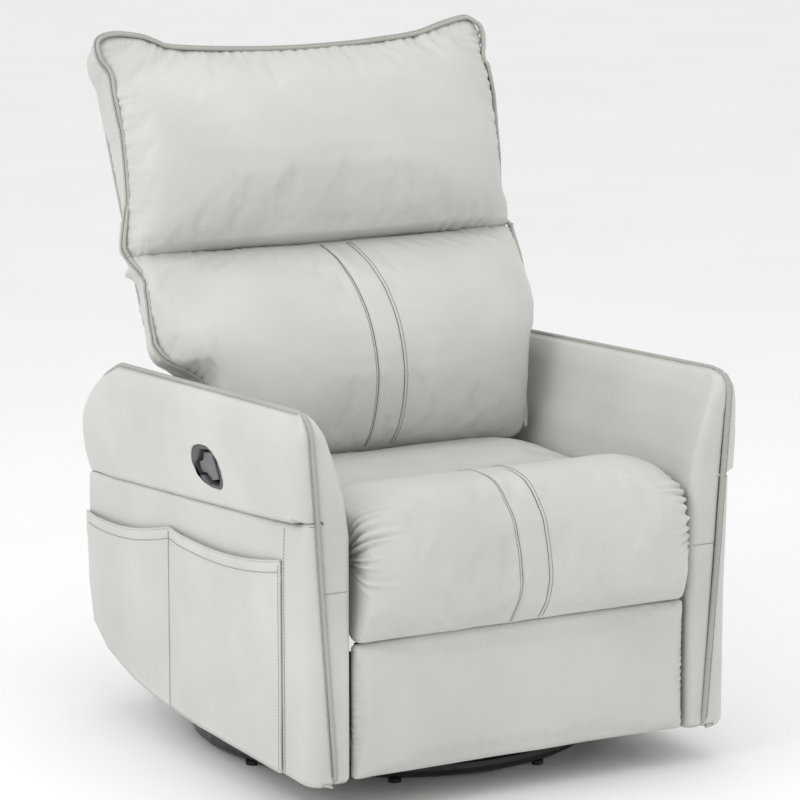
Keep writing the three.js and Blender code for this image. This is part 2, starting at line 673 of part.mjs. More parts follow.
// The faces of both grids, the two sides, the bottom and the top.
function pillowFaces() {
  const columns = PILLOW_COLUMNS + 1;
  const rear = (PILLOW_ROWS + 1) * columns;
  const last = PILLOW_ROWS * columns;
  const faces = [];
  const quad = (a, b, c, d) => faces.push(a, b, c, a, c, d);
  for (let row = 0; row < last; row += columns) {
    const end = row + PILLOW_COLUMNS;
    for (let at = row; at < end; at += 1) {
      quad(at, at + 1, at + columns + 1, at + columns);
      quad(rear + at, rear + at + columns, rear + at + columns + 1, rear + at + 1);
    }
    quad(row, row + columns, rear + row + columns, rear + row);
    quad(end, rear + end, rear + end + columns, end + columns);
  }
  for (let c = 0; c < PILLOW_COLUMNS; c += 1) {
    quad(c, rear + c, rear + c + 1, c + 1);
    quad(last + c, last + c + 1, rear + last + c + 1, rear + last + c);
  }
  return faces;
}

// A cushion between two heights, flat behind. Its front runs from the rim to its fullest depth in the middle.
function pillow(heights, halfWidths, fullest) {
  const front = (across, height) => {
    const rim = read(RIM, height);
    return rim + (read(fullest, height) - rim) * (1 - across ** 4) ** 0.6;
  };
  const grids = [front, () => CUSHION_DEPTH].flatMap((depthAt) => pillowGrid(heights, halfWidths, depthAt));
  const geometry = new THREE.BufferGeometry();
  geometry.setAttribute('position', new THREE.BufferAttribute(new Float32Array(grids), 3));
  return geometry.setIndex(pillowFaces());
}

function lumbarCushion() {
  const half = [[-2, 262], [20, 274], [100, 280], [150, 283], [188, 318], [215, 334], [300, 340], [347, 344]];
  const fullest = [[-2, 5], [18, -42], [33, -64], [53, -80], [90, -95], [130, -104], [165, -106], [200, -101],
    [235, -90], [267, -73], [293, -52], [317, -31], [347, 4]];
  return narrowed(raiseWings(pillow([-2, 347], half, fullest)));
}

function headCushion() {
  const half = [[345, 351], [350, 372], [338, 410], [336, 600], [331, 638], [345, 660], [349, 684], [335, 697],
    [311, 700], [266, 696], [228, 684], [205, 676], [120, 671]];
  const fullest = [[350, 8], [357, -22], [375, -48], [400, -65], [430, -75], [480, -80], [530, -75], [580, -63],
    [620, -49], [650, -33], [669, -15], [712, -15]];
  const body = pillow([350, 712], [[350, 352], [712, 352]], fullest);
  const outline = alongY(polygon(symmetric(half)), FULLEST_DEPTH, CUSHION_DEPTH - FULLEST_DEPTH + 1);
  return narrowed(common(body, outline));
}

function backFrame() {
  const half = [[266, -60], [266, 190], [292, 220], [300, 640]];
  return raiseWings(alongY(polygon(symmetric(half)), CUSHION_DEPTH + 2, 18));
}

function backCover() {
  const half = [[268, -20], [268, 172], [320, 215], [334, 300], [336, 600], [328, 665], [300, 690], [200, 680]];
  return narrowed(raiseWings(alongY(polygon(symmetric(half)), CUSHION_DEPTH + 22, 13, 4)));
}

function backBracket(side) {
  const strap = sheetX(capsule([RECLINE_Y, RECLINE_Z], [221, 520], 14), side, LAYER_DRIVE, LINK_THICK);
  return join(strap, sidePin(side, LAYER_DRIVE + 1, FAR, RECLINE_Y, RECLINE_Z, PIN));
}

function buildBack() {
  add('lumbar_cushion', lumbarCushion(), leather, back);
  add('head_cushion', headCushion(), leather, back);
  add('back_frame', backFrame(), plywood, back);
  add('back_cover', backCover(), leather, back);
  for (const [word, side] of SIDES) {
    add(`back_bracket_${word}`, backBracket(side), zincSteel);
  }
}

buildBase();
buildGlider();
buildSeat();
buildArms();
buildHandle();
buildFootrest();
buildBack();

export default chair;
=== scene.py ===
"""Glider nursery chair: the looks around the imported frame. Lengths below are in millimetres unless a name says
otherwise; y is measured from the swivel axis, as on the frame's drawing, and place() turns a point into metres
in the frame's own row."""
import math
import bpy
import numpy as np
from mathutils import Matrix, Vector, geometry, noise
from mathutils.bvhtree import BVHTree
from mathutils.kdtree import KDTree


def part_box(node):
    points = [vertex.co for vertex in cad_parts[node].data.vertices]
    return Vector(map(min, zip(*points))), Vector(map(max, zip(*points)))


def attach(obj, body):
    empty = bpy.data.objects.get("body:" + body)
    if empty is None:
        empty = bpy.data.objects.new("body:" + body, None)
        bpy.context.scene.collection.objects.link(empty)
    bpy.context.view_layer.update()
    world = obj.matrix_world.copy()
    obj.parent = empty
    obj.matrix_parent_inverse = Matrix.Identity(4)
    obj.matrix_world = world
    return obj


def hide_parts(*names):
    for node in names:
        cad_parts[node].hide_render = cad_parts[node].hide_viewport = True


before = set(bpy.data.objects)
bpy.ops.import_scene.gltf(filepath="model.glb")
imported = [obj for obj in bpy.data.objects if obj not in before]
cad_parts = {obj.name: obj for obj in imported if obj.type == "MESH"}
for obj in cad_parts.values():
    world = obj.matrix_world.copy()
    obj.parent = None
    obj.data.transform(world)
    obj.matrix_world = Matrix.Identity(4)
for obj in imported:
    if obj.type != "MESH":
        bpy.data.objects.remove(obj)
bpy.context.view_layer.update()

MM = 0.001
BOX_CENTRE_Y = 17
SIDES = (("left", 1), ("right", -1))

# ---- places taken from the frame ----
def box_mm(node):
    low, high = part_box(node)
    shift = Vector((0, BOX_CENTRE_Y, 0))
    return low / MM + shift, high / MM + shift


ARM_LOW, ARM_HIGH = box_mm("arm_lower_cover_left")
ARM_FRONT = ARM_LOW.y
ARM_OUTER = ARM_HIGH.x
ARM_INNER = box_mm("arm_inner_pad_left")[0].x
BULGE_LOW, BULGE_HIGH = box_mm("arm_upper_cover_left")
PAD_LOW, PAD_HIGH = box_mm("footrest_pad")
SEAT_LOW, SEAT_HIGH = box_mm("seat_cushion")
REAR_LOW, REAR_HIGH = box_mm("rear_panel")

BACK_FOOT_Y = 56
BACK_FOOT_Z = 437
BACK_LEAN = math.atan(0.47)
BACK_DEPTH = 95

PIPING = 3.6
THREAD = 0.55


def place(x, y, z):
    return Vector((x, y - BOX_CENTRE_Y, z)) * MM


IN_ROW = Matrix.Translation(place(0, 0, 0)) @ Matrix.Scale(MM, 4)
ON_BACK = Matrix.Translation(place(0, BACK_FOOT_Y, BACK_FOOT_Z)) @ Matrix.Rotation(-BACK_LEAN, 4, "X")
ON_BACK = ON_BACK @ Matrix.Scale(MM, 4)


# ---- small maths ----
def lerp(a, b, t):
    return a + (b - a) * t


def clamp(value, low=0.0, high=1.0):
    return max(low, min(high, value))


def ease(t):
    t = clamp(t)
    return t * t * (3 - 2 * t)


def read(table, key):
    """The value at key in a table of (key, value) pairs, in straight lines between them."""
    keys, values = zip(*table)
    return float(np.interp(key, keys, values))


def rounding(distance, radius):
    """How far a quarter-round edge has dropped at a distance inside it."""
    t = clamp(distance / radius)
    return radius * (1 - math.sqrt(1 - (1 - t) ** 2))


def spline(points, closed=False, per=12):
    """A Catmull-Rom curve through the points."""
    pts = [Vector(p) for p in points]
    n = len(pts)
    out = []
    for i in range(n if closed else n - 1):
        a = pts[(i - 1) % n] if closed or i else pts[0] * 2 - pts[1]
        b, c = pts[i], pts[(i + 1) % n]
        d = pts[(i + 2) % n] if closed or i < n - 2 else pts[-1] * 2 - pts[-2]
        for k in range(per):
            t = k / per
            out.append(0.5 * (b * 2 + (c - a) * t + (a * 2 - b * 5 + c * 4 - d) * t ** 2
                              + (b * 3 - a - c * 3 + d) * t ** 3))
    return out if closed else out + [pts[-1]]


def spaced(points, step, closed=False):
    """The same line with its points a step apart."""
    pts = [Vector(p) for p in points] + ([Vector(points[0])] if closed else [])
    lengths = np.cumsum([0] + [(b - a).length for a, b in zip(pts, pts[1:])])
    count = max(2, round(lengths[-1] / step))
    wanted = np.linspace(0, lengths[-1], count + 1)
    axes = [np.interp(wanted, lengths, [p[i] for p in pts]) for i in range(len(pts[0]))]
    out = [Vector(p) for p in zip(*axes)]
    return out[:-1] if closed else out


def wobble(where, size, seed=0.0):
    return noise.noise(Vector(where) / size + Vector((seed, seed * 1.7, seed * 0.3)))


# ---- materials ----
def new_material(name, **values):
    material = bpy.data.materials.new(name)
    material.use_nodes = True
    shader = material.node_tree.nodes["Principled BSDF"]
    for socket, value in values.items():
        shader.inputs[socket.replace("_", " ")].default_value = value
    return material, material.node_tree, shader


def node(tree, kind, links=None, **values):
    made = tree.nodes.new(kind)
    for key, value in values.items():
        if key in {"operation", "data_type", "blend_type", "feature", "wave_type", "bands_direction"}:
            setattr(made, key, value)
        else:
            made.inputs[key.replace("_", " ")].default_value = value
    for socket, source in (links or {}).items():
        tree.links.new(source, made.inputs[socket])
    return made


def object_space(tree, scale=(1, 1, 1)):
    coords = tree.nodes.new("ShaderNodeTexCoord")
    mapping = tree.nodes.new("ShaderNodeMapping")
    mapping.inputs["Scale"].default_value = scale
    tree.links.new(coords.outputs["Object"], mapping.inputs["Vector"])
    return mapping.outputs["Vector"]


def ramp(tree, source, stops):
    made = tree.nodes.new("ShaderNodeValToRGB")
    elements = made.color_ramp.elements
    while len(elements) < len(stops):
        elements.new(0.5)
    for element, (position, colour) in zip(elements, stops):
        element.position = position
        element.color = (*colour, 1)
    tree.links.new(source, made.inputs["Fac"])
    return made.outputs["Color"]


def span_of(tree, source, low, high):
    """A noise value spread over the range from low to high."""
    made = node(tree, "ShaderNodeMapRange", {"Value": source}, To_Min=low, To_Max=high)
    return made.outputs["Result"]


def bump_chain(tree, shader, layers):
    """Bumps laid over each other: (height, strength, distance in metres)."""
    normal = None
    for height, strength, distance in layers:
        links = {"Height": height}
        if normal:
            links["Normal"] = normal
        made = node(tree, "ShaderNodeBump", links, Strength=strength, Distance=distance)
        normal = made.outputs["Normal"]
    tree.links.new(normal, shader.inputs["Normal"])


def noise_at(tree, vector, scale, detail=2.0, rough=0.5):
    made = node(tree, "ShaderNodeTexNoise", {"Vector": vector}, Scale=scale, Detail=detail, Roughness=rough)
    return made.outputs["Fac"]


def leather(name, dark, light, roughness):
    """Soft upholstery leather: pebble grain, faint creases, slow changes of colour, and a curvature tint that is paler
    on worn ridges and darker in hollows and creases, the darkening being painted shade.
    """
    material, tree, shader = new_material(name, Coat_Weight=0.04, Coat_Roughness=0.35, Specular_IOR_Level=0.42)
    vector = object_space(tree)
    broad = noise_at(tree, vector, 5.5, 3.0)
    tone = ramp(tree, broad, [(0.3, dark), (0.7, light)])
    fine = noise_at(tree, vector, 420, 2.0)
    speckle = ramp(tree, fine, [(0.25, (0.93, 0.93, 0.925)), (0.75, (1, 1, 1))])
    mixed = node(tree, "ShaderNodeMix", data_type="RGBA", blend_type="MULTIPLY")
    mixed.inputs["Factor"].default_value = 0.7
    tree.links.new(tone, mixed.inputs["A"])
    tree.links.new(speckle, mixed.inputs["B"])
    # Curvature tint: convex ridges paler as wear, hollows and creases darker as painted shade.
    ridge_wear_and_crease_shade = node(tree, "ShaderNodeMix", data_type="RGBA", blend_type="SOFT_LIGHT")
    ridge_wear_and_crease_shade.inputs["Factor"].default_value = 0.35
    geometry = tree.nodes.new("ShaderNodeNewGeometry")
    pointiness_wear_and_shade = ramp(tree, geometry.outputs["Pointiness"], [(0.44, (0.3, 0.29, 0.28)), (0.56, (0.72, 0.72, 0.71))])
    tree.links.new(mixed.outputs["Result"], ridge_wear_and_crease_shade.inputs["A"])
    tree.links.new(pointiness_wear_and_shade, ridge_wear_and_crease_shade.inputs["B"])
    tree.links.new(ridge_wear_and_crease_shade.outputs["Result"], shader.inputs["Base Color"])
    tree.links.new(span_of(tree, noise_at(tree, vector, 38, 4.0), roughness - 0.06, roughness + 0.08),
                   shader.inputs["Roughness"])
    pebble = node(tree, "ShaderNodeTexVoronoi", {"Vector": vector}, feature="SMOOTH_F1", Scale=780.0, Smoothness=0.6)
    folds = noise_at(tree, object_space(tree, (1, 1, 2.2)), 24, 5.0, 0.55)
    pores = noise_at(tree, vector, 1500, 1.0)
    bump_chain(tree, shader, [(folds, 0.22, 0.0022), (pebble.outputs["Distance"], 0.35, 0.00035),
                              (pores, 0.15, 0.0002)])
    return material


def cotton(name, colour, pale):
    """Twisted thread or woven lining."""
    material, tree, shader = new_material(name, Sheen_Weight=0.25, Sheen_Roughness=0.4)
    vector = object_space(tree)
    tree.links.new(ramp(tree, noise_at(tree, vector, 900, 3.0), [(0.3, colour), (0.7, pale)]),
                   shader.inputs["Base Color"])
    tree.links.new(span_of(tree, noise_at(tree, vector, 300), 0.7, 0.9), shader.inputs["Roughness"])
    twist = node(tree, "ShaderNodeTexWave", {"Vector": vector}, Scale=900.0, Distortion=2.0)
    bump_chain(tree, shader, [(twist.outputs["Fac"], 0.4, 0.0002)])
    return material


def coated_metal(name, dark, light, metallic, low, high, orange_peel=0.25):
    """Powder-coated or plated steel with a faint orange peel and scuffs."""
    material, tree, shader = new_material(name, Metallic=metallic)
    vector = object_space(tree)
    tree.links.new(ramp(tree, noise_at(tree, vector, 26, 5.0, 0.6), [(0.3, dark), (0.72, light)]),
                   shader.inputs["Base Color"])
    tree.links.new(span_of(tree, noise_at(tree, vector, 60, 4.0), low, high), shader.inputs["Roughness"])
    scuffs = noise_at(tree, object_space(tree, (1, 8, 1)), 140, 3.0)
    bump_chain(tree, shader, [(noise_at(tree, vector, 520, 1.0), orange_peel, 0.0003), (scuffs, 0.08, 0.0002)])
    return material


def moulded(name, dark, light, low, high, grain=900.0):
    """Injection-moulded plastic or rubber with a spark-eroded grain."""
    material, tree, shader = new_material(name, Specular_IOR_Level=0.45)
    vector = object_space(tree)
    tree.links.new(ramp(tree, noise_at(tree, vector, 70, 4.0), [(0.3, dark), (0.7, light)]),
                   shader.inputs["Base Color"])
    tree.links.new(span_of(tree, noise_at(tree, vector, 160, 3.0), low, high), shader.inputs["Roughness"])
    bump_chain(tree, shader, [(noise_at(tree, vector, grain, 2.0), 0.35, 0.00025)])
    return material


def plywood(name):
    material, tree, shader = new_material(name)
    stretched = object_space(tree, (2, 26, 26))
    rings = node(tree, "ShaderNodeTexWave", {"Vector": object_space(tree, (1, 3, 9))}, Scale=7.0, Distortion=9.0,
                 Detail=3.0)
    grain = noise_at(tree, stretched, 9, 5.0, 0.6)
    mixed = node(tree, "ShaderNodeMath", {0: rings.outputs["Fac"], 1: grain}, operation="MULTIPLY")
    tone = ramp(tree, mixed.outputs["Value"], [(0.05, (0.36, 0.22, 0.1)), (0.5, (0.6, 0.42, 0.23))])
    tree.links.new(tone, shader.inputs["Base Color"])
    tree.links.new(span_of(tree, grain, 0.55, 0.8), shader.inputs["Roughness"])
    bump_chain(tree, shader, [(grain, 0.3, 0.0004)])
    return material


HIDE = leather("leather", (0.535, 0.53, 0.508), (0.6, 0.596, 0.576), 0.44)
WELT = leather("leather_welt", (0.4, 0.393, 0.37), (0.46, 0.453, 0.43), 0.46)
STITCH = cotton("thread", (0.22, 0.21, 0.185), (0.34, 0.33, 0.3))
# dark cord material for the tubes laid in seam grooves: painted shadow
SHADE = cotton("seam_shadow", (0.1, 0.095, 0.088), (0.16, 0.153, 0.14))
BLACK_STEEL = coated_metal("black_steel", (0.012, 0.012, 0.013), (0.03, 0.03, 0.031), 0.25, 0.3, 0.48)
ZINC = coated_metal("zinc_steel", (0.3, 0.31, 0.32), (0.46, 0.47, 0.48), 0.9, 0.28, 0.5, 0.1)
RUBBER = moulded("rubber", (0.01, 0.01, 0.01), (0.025, 0.025, 0.025), 0.7, 0.92, 500.0)
WOOD = plywood("plywood")
BEZEL = moulded("bezel_plastic", (0.06, 0.061, 0.063), (0.085, 0.086, 0.089), 0.38, 0.55)
LEVER = moulded("lever_plastic", (0.13, 0.131, 0.134), (0.17, 0.171, 0.175), 0.34, 0.5)
SHEATH = moulded("cable_sheath", (0.015, 0.015, 0.016), (0.03, 0.03, 0.031), 0.4, 0.6)

CARRIED = {
    "black_steel": BLACK_STEEL, "zinc_steel": ZINC, "black_rubber": RUBBER, "plywood": WOOD,
    "bezel_plastic": BEZEL, "lever_plastic": LEVER, "cable_sheath": SHEATH, "leather": HIDE,
}


WRAPPED = ("back_frame", "arm_frame")  # frames whose open edges are wrapped in leather


# ---- meshes ----
def make(name, vertices, faces, material, body, slot, matrix=IN_ROW, smooth=True):
    """A new piece from points in millimetres, in the frame that matrix stands for."""
    mesh = bpy.data.meshes.new(name)
    mesh.from_pydata([matrix @ Vector(v) for v in vertices], [], faces)
    mesh.materials.append(material)
    mesh.validate()
    mesh.update()
    piece = bpy.data.objects.new(name, mesh)
    bpy.context.scene.collection.objects.link(piece)
    for face in mesh.polygons:
        face.use_smooth = smooth
    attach(piece, body)
    return piece


def bake_modifiers(piece):
    graph = bpy.context.evaluated_depsgraph_get()
    mesh = bpy.data.meshes.new_from_object(piece.evaluated_get(graph), depsgraph=graph)
    piece.modifiers.clear()
    piece.data = mesh
    for face in mesh.polygons:
        face.use_smooth = True


def with_modifier(piece, kind, **values):
    modifier = piece.modifiers.new(kind.lower(), kind)
    for key, value in values.items():
        setattr(modifier, key, value)
    return modifier


def points_of(piece):
    co = np.empty(len(piece.data.vertices) * 3)
    piece.data.vertices.foreach_get("co", co)
    return co.reshape(-1, 3)


def normals_of(piece):
    piece.data.update()
    co = np.empty(len(piece.data.vertices) * 3)
    piece.data.vertices.foreach_get("normal", co)
    return co.reshape(-1, 3)


def set_points(piece, co):
    piece.data.vertices.foreach_set("co", np.ascontiguousarray(co).ravel())
    piece.data.update()


def grid_faces(rows, columns, wrap=False):
    faces = []
    for r in range(rows - 1):
        for c in range(columns if wrap else columns - 1):
            d = (c + 1) % columns
            faces.append((r * columns + c, r * columns + d, (r + 1) * columns + d, (r + 1) * columns + c))
    return faces


def tube(points, radius, sides=8):
    """A closed tube along a line: its vertices and faces."""
    pts = [Vector(p) for p in points]
    vertices, faces = [], []
    across = None
    for i, p in enumerate(pts):
        ahead = (pts[min(i + 1, len(pts) - 1)] - pts[max(i - 1, 0)]).normalized()
        if across is None:
            across = ahead.orthogonal().normalized()
        across = (across - ahead * across.dot(ahead)).normalized()
        up = ahead.cross(across)
        for k in range(sides):
            a = 2 * math.pi * k / sides
            vertices.append(p + (across * math.cos(a) + up * math.sin(a)) * radius)
    faces = [tuple(reversed(f)) for f in grid_faces(len(pts), sides, True)]
    faces.append(tuple(range(sides)))
    faces.append(tuple(reversed(range((len(pts) - 1) * sides, len(pts) * sides))))
    return vertices, faces


def gather_parts(parts):
    vertices, faces = [], []
    for some, more in parts:
        base = len(vertices)
        vertices += some
        faces += [tuple(base + i for i in f) for f in more]
    return vertices, faces


def welt(name, points, radius, body, matrix=IN_ROW, material=WELT, step=3.0):
    """A piping cord in its leather, with the slight ridges its stitches leave."""
    pts = spaced(points, step)
    vertices, faces = tube(pts, radius, 10)
    for i in range(len(pts)):
        swell = 1 + 0.05 * math.sin(i * 2.1) + 0.05 * wobble(pts[i], 9.0)
        for k in range(10):
            v = vertices[i * 10 + k]
            vertices[i * 10 + k] = pts[i] + (v - pts[i]) * swell
    return make(name, vertices, faces, material, body, "leather", matrix)


def stitches(name, points, normals, body, pitch=4.6, length=3.2, radius=THREAD, matrix=IN_ROW, material=STITCH):
    """Single stitches lying on a surface along a line."""
    pts = [Vector(p) for p in points]
    lengths = np.cumsum([0] + [(b - a).length for a, b in zip(pts, pts[1:])])
    parts = []
    for k in range(int(lengths[-1] // pitch)):
        middle = (k + 0.5) * pitch
        ends = []
        for along, lift in ((middle - length / 2, -0.35), (middle - length / 4, 0.3), (middle + length / 4, 0.3),
                            (middle + length / 2, -0.35)):
            i = min(int(np.searchsorted(lengths, along, "right")) - 1, len(pts) - 2)
            t = (along - lengths[i]) / max(lengths[i + 1] - lengths[i], 1e-6)
            ends.append(pts[i].lerp(pts[i + 1], t) + Vector(normals[i]) * lift)
        parts.append(tube(ends, radius, 5))
    return make(name, *gather_parts(parts), material, body, "leather", matrix)


def surface_tree(piece):
    return BVHTree.FromPolygons([v.co for v in piece.data.vertices], [tuple(p.vertices) for p in piece.data.polygons])


def laid_on(tree, points, direction, matrix, lift=0.0):
    """Where lines through the points, along direction, first meet a surface: places and normals in the
    matrix's own frame."""
    back = matrix.inverted()
    turn = matrix.to_3x3().normalized()
    found, normals = [], []
    ray = (turn @ Vector(direction)).normalized()
    for p in points:
        start = matrix @ Vector(p) - ray * 0.25
        hit, normal, _, _ = tree.ray_cast(start, ray)
        if hit is None:
            continue
        found.append(back @ hit + turn.transposed() @ normal * lift)
        normals.append(turn.transposed() @ normal)
    return found, normals


# ---- cushions: block, remesh, inflate, crease ----
def block(name, outline, layers, body, matrix, turn=lambda u, w, d: (u, d, w)):
    """A closed block: an outline in (u, w), inset by so much at each depth of its layers."""
    count = len(outline)
    edges = [(outline[(i + 1) % count] - outline[i - 1]).normalized() for i in range(count)]
    inward = [Vector((-e.y, e.x)) for e in edges]
    area = sum(a.x * b.y - a.y * b.x for a, b in zip(outline, outline[1:] + outline[:1]))
    if area < 0:
        inward = [-n for n in inward]
    vertices = []
    for depth, inset in layers:
        vertices += [turn(*(p + n * inset), depth) for p, n in zip(outline, inward)]
    faces = grid_faces(len(layers), count, True)
    faces.append(tuple(range(count)))
    faces.append(tuple(range((len(layers) - 1) * count, len(layers) * count)))
    piece = make(name, vertices, faces, HIDE, body, "leather", Matrix())
    piece.data.transform(matrix)
    return piece


def remesh(piece, matrix, voxel=6.0, smooth=4):
    """An even mesh whose grid lies along the piece's own frame."""
    turn = matrix.to_3x3().normalized().to_4x4()
    piece.data.transform(turn.transposed())
    with_modifier(piece, "REMESH", mode="VOXEL", voxel_size=voxel * MM)
    with_modifier(piece, "SMOOTH", factor=0.5, iterations=smooth)
    bake_modifiers(piece)
    piece.data.transform(turn)


def tree_of(points):
    tree = KDTree(len(points))
    for i, p in enumerate(points):
        tree.insert(p, i)
    tree.balance()
    return tree


def local_points(piece, matrix):
    """The piece's points in the millimetres of its own frame."""
    inverse = np.array(matrix.inverted())
    return points_of(piece) @ inverse[:3, :3].T + inverse[:3, 3]


def shape(piece, matrix, move):
    """Moves each point of a piece by a rule in its own frame: move(x, y, z) gives the new place."""
    co = local_points(piece, matrix)
    co = np.array([move(*p) for p in co])
    forward = np.array(matrix)
    set_points(piece, co @ forward[:3, :3].T + forward[:3, 3])


def inflate(piece, held, pressure=4.0, slack=0.02, cap=22.0, frames=20):
    """Fills the cover like a cushion: cloth under pressure, held where it is sewn or backed, with each point
    kept within cap of its start."""
    scene = bpy.context.scene
    start = points_of(piece)
    group = piece.vertex_groups.new(name="held")
    group.add([int(i) for i in held], 1.0, "REPLACE")
    cloth = piece.modifiers.new("cloth", "CLOTH")
    settings = cloth.settings
    settings.quality = 4
    settings.use_pressure = True
    settings.uniform_pressure_force = pressure
    settings.vertex_group_mass = group.name
    settings.effector_weights.gravity = 0
    settings.shrink_min = -slack
    settings.tension_stiffness = 18
    settings.bending_stiffness = 0.4
    cloth.point_cache.frame_start = 1
    cloth.point_cache.frame_end = frames
    for number in range(1, frames + 1):
        scene.frame_set(number)
    bake_modifiers(piece)
    scene.frame_set(1)
    piece.vertex_groups.clear()
    moved = points_of(piece) - start
    length = np.maximum(np.linalg.norm(moved, axis=1), 1e-9)
    scale = np.minimum(1.0, cap * MM / length)
    set_points(piece, start + moved * scale[:, None])


def soften(piece, smooth=2, levels=1):
    with_modifier(piece, "SMOOTH", factor=0.5, iterations=smooth)
    with_modifier(piece, "SUBSURF", levels=levels, render_levels=levels)
    bake_modifiers(piece)


def carve(piece, lines, depth, width):
    """Presses a seam into a piece along lines given in metres."""
    tree = tree_of([p for line in lines for p in spaced(line, 0.002)])
    co, normals = points_of(piece), normals_of(piece)
    reach = 3 * width * MM
    for i, p in enumerate(co):
        distance = tree.find(p)[2]
        if distance < reach:
            co[i] -= normals[i] * depth * MM * math.exp(-((distance / (width * MM)) ** 2))
    set_points(piece, co)


def pucker(piece, line, height, reach, period, seed=0.0, where=lambda p: 1.0):
    """Small gathers running away from a seam: ridges across it that die out within reach."""
    pts = spaced(line, 0.002)
    tree = tree_of(pts)
    co, normals = points_of(piece), normals_of(piece)
    for i, p in enumerate(co):
        _, index, distance = tree.find(p)
        if distance > 4 * reach * MM:
            continue
        along = index * 2.0
        strength = 0.55 + 0.9 * wobble((along, 0, 0), 46.0, seed + 3)
        phase = 2 * math.pi * along / period + 5.5 * wobble((along, 0, 0), 31.0, seed)
        fade = math.exp(-distance / (reach * MM)) * ease(distance / (5 * MM))
        co[i] += normals[i] * height * MM * max(strength, 0) * math.sin(phase) * fade * where(p)
    set_points(piece, co)


def ripple(piece, height, size, seed, stretch=(1, 1, 1)):
    """Slow unevenness of the filling."""
    co, normals = points_of(piece), normals_of(piece)
    for i, p in enumerate(co):
        where = Vector((p[0] * stretch[0], p[1] * stretch[1], p[2] * stretch[2])) / MM
        co[i] += normals[i] * height * MM * wobble(where, size, seed)
    set_points(piece, co)


# ---- back: head and lumbar cushions ----
RIM = [(-4, 0), (60, -3), (110, -6), (160, -2), (185, 6), (220, 13), (300, 16), (330, 26), (350, 34), (380, 32),
       (420, 26), (500, 4), (570, -10), (640, -12), (715, -15)]
CREASE = [(-345, 353), (-200, 347.5), (0, 345), (200, 347.5), (345, 353)]
HEAD_LEFT = [(347, 352), (333, 371), (337.5, 384), (334, 414), (337, 461), (337, 499), (339, 560), (339, 615),
             (334.5, 628), (340, 652), (342, 669), (339, 687), (326, 698), (311, 702), (268, 693), (228, 681.5),
             (190, 676), (152, 673), (96, 669)]
HEAD_RIGHT = [(346, 352), (350, 372), (337, 424), (332, 443), (331, 495), (331, 542), (334, 568), (335, 605),
              (335, 638), (347, 660), (350, 679), (346, 696), (332, 704), (310, 706), (288, 703), (265, 698),
              (245, 689), (226, 681), (172, 674.7), (84, 669)]
LUMBAR_LEFT = [(346, 355), (342, 336), (338, 303), (336, 257), (332, 223), (325, 180), (303, 157), (295, 145.5),
               (288, 130), (282, 106), (280, 85), (279, 60), (274, 20), (258, -2), (180, -2)]
LUMBAR_RIGHT = [(347, 356), (340, 338), (330, 312), (333, 294), (334, 273), (337, 247), (338, 223), (340, 205),
                (336, 191), (329, 178), (317, 167), (303, 159), (288, 149), (275, 134), (275, 100), (277, 60),
                (274, 20), (258, -2), (180, -2)]
HEAD_FULLEST = [(350, 8), (357, -22), (375, -48), (400, -65), (430, -75), (480, -80), (530, -75), (580, -63),
                (620, -49), (650, -33), (669, -16), (712, -16)]
LUMBAR_FULLEST = [(-2, 5), (18, -42), (33, -64), (53, -80), (90, -95), (130, -104), (165, -106), (200, -101),
                  (235, -90), (267, -73), (293, -52), (317, -31), (347, 4)]
HEAD_WIDE = [(345, 345), (372, 347), (410, 337), (600, 337), (638, 336), (660, 343), (712, 347)]
LUMBAR_WIDE = [(-2, 270), (60, 284), (110, 300), (160, 320), (210, 335), (290, 337), (347, 345)]
BACK_LAYERS = [(0, 0), (12, -2), (30, 1), (58, 8), (BACK_DEPTH - 1, 24)]
EDGE_ROUND = 26
BAND_HALF = 23


def both_ways(half):
    return half + [(-x, s) for x, s in reversed(half)]


def whole_line(left, middle, right):
    """One cushion's edge in (x, s), from its left end round to its right end."""
    return spline(left + middle + [(-x, s) for x, s in reversed(right)], False, 8)


def crown(outline, fullest, wide):
    """The rule that swells a flat block into a full cushion: the front stands out from the rim to the fullest
    line in the middle, with a cross-section that falls away steeply at its sides."""
    edge_tree = tree_of([Vector((p.x, p.y, 0)) for p in spaced(outline, 3.0)])

    def move(x, d, s):
        near_crease = ease(1 - abs(s - 349) / 80)
        key = s - (read(CREASE, x) - 349) * near_crease
        rim = read(RIM, s)
        edge = clamp(edge_tree.find((x, s, 0))[2] / EDGE_ROUND)
        rise = min((1 - clamp(abs(x) / read(wide, s)) ** 4) ** 0.6, math.sqrt(1 - (1 - edge) ** 2))
        front = rim + (read(fullest, key) - rim) * rise
        return x, BACK_DEPTH - (1 - d / BACK_DEPTH) * (BACK_DEPTH - front), s

    return move


def on_rim(outline):
    return [Vector((p.x, read(RIM, p.y), p.y)) for p in outline]


def back_cushion(name, node_name, outline, crease, fullest, wide, seed):
    """One of the back's cushions, in (x, depth, height along the back)."""
    piece = block(name, spaced(outline + crease, 9.0, True), BACK_LAYERS, "back", ON_BACK)
    remesh(piece, ON_BACK)
    shape(piece, ON_BACK, crown(outline, fullest, wide))
    remesh(piece, ON_BACK, 6.0, 2)
    tree = tree_of(spaced([ON_BACK @ p for p in on_rim(outline)], 0.003))
    local = local_points(piece, ON_BACK)
    held = [i for i, p in enumerate(points_of(piece))
            if local[i][1] > 58 or tree.find(p)[2] < 0.006 or abs(local[i][2] - read(CREASE, local[i][0])) < 9]
    inflate(piece, held, slack=0.014, cap=7.0)
    soften(piece)
    ripple(piece, 1.5, 95.0, seed)
    ripple(piece, 0.5, 26.0, seed + 9)
    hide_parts(node_name)
    return piece


def crease_line(lift):
    return [Vector((x, s + lift)) for x, s in reversed(CREASE[1:-1])]


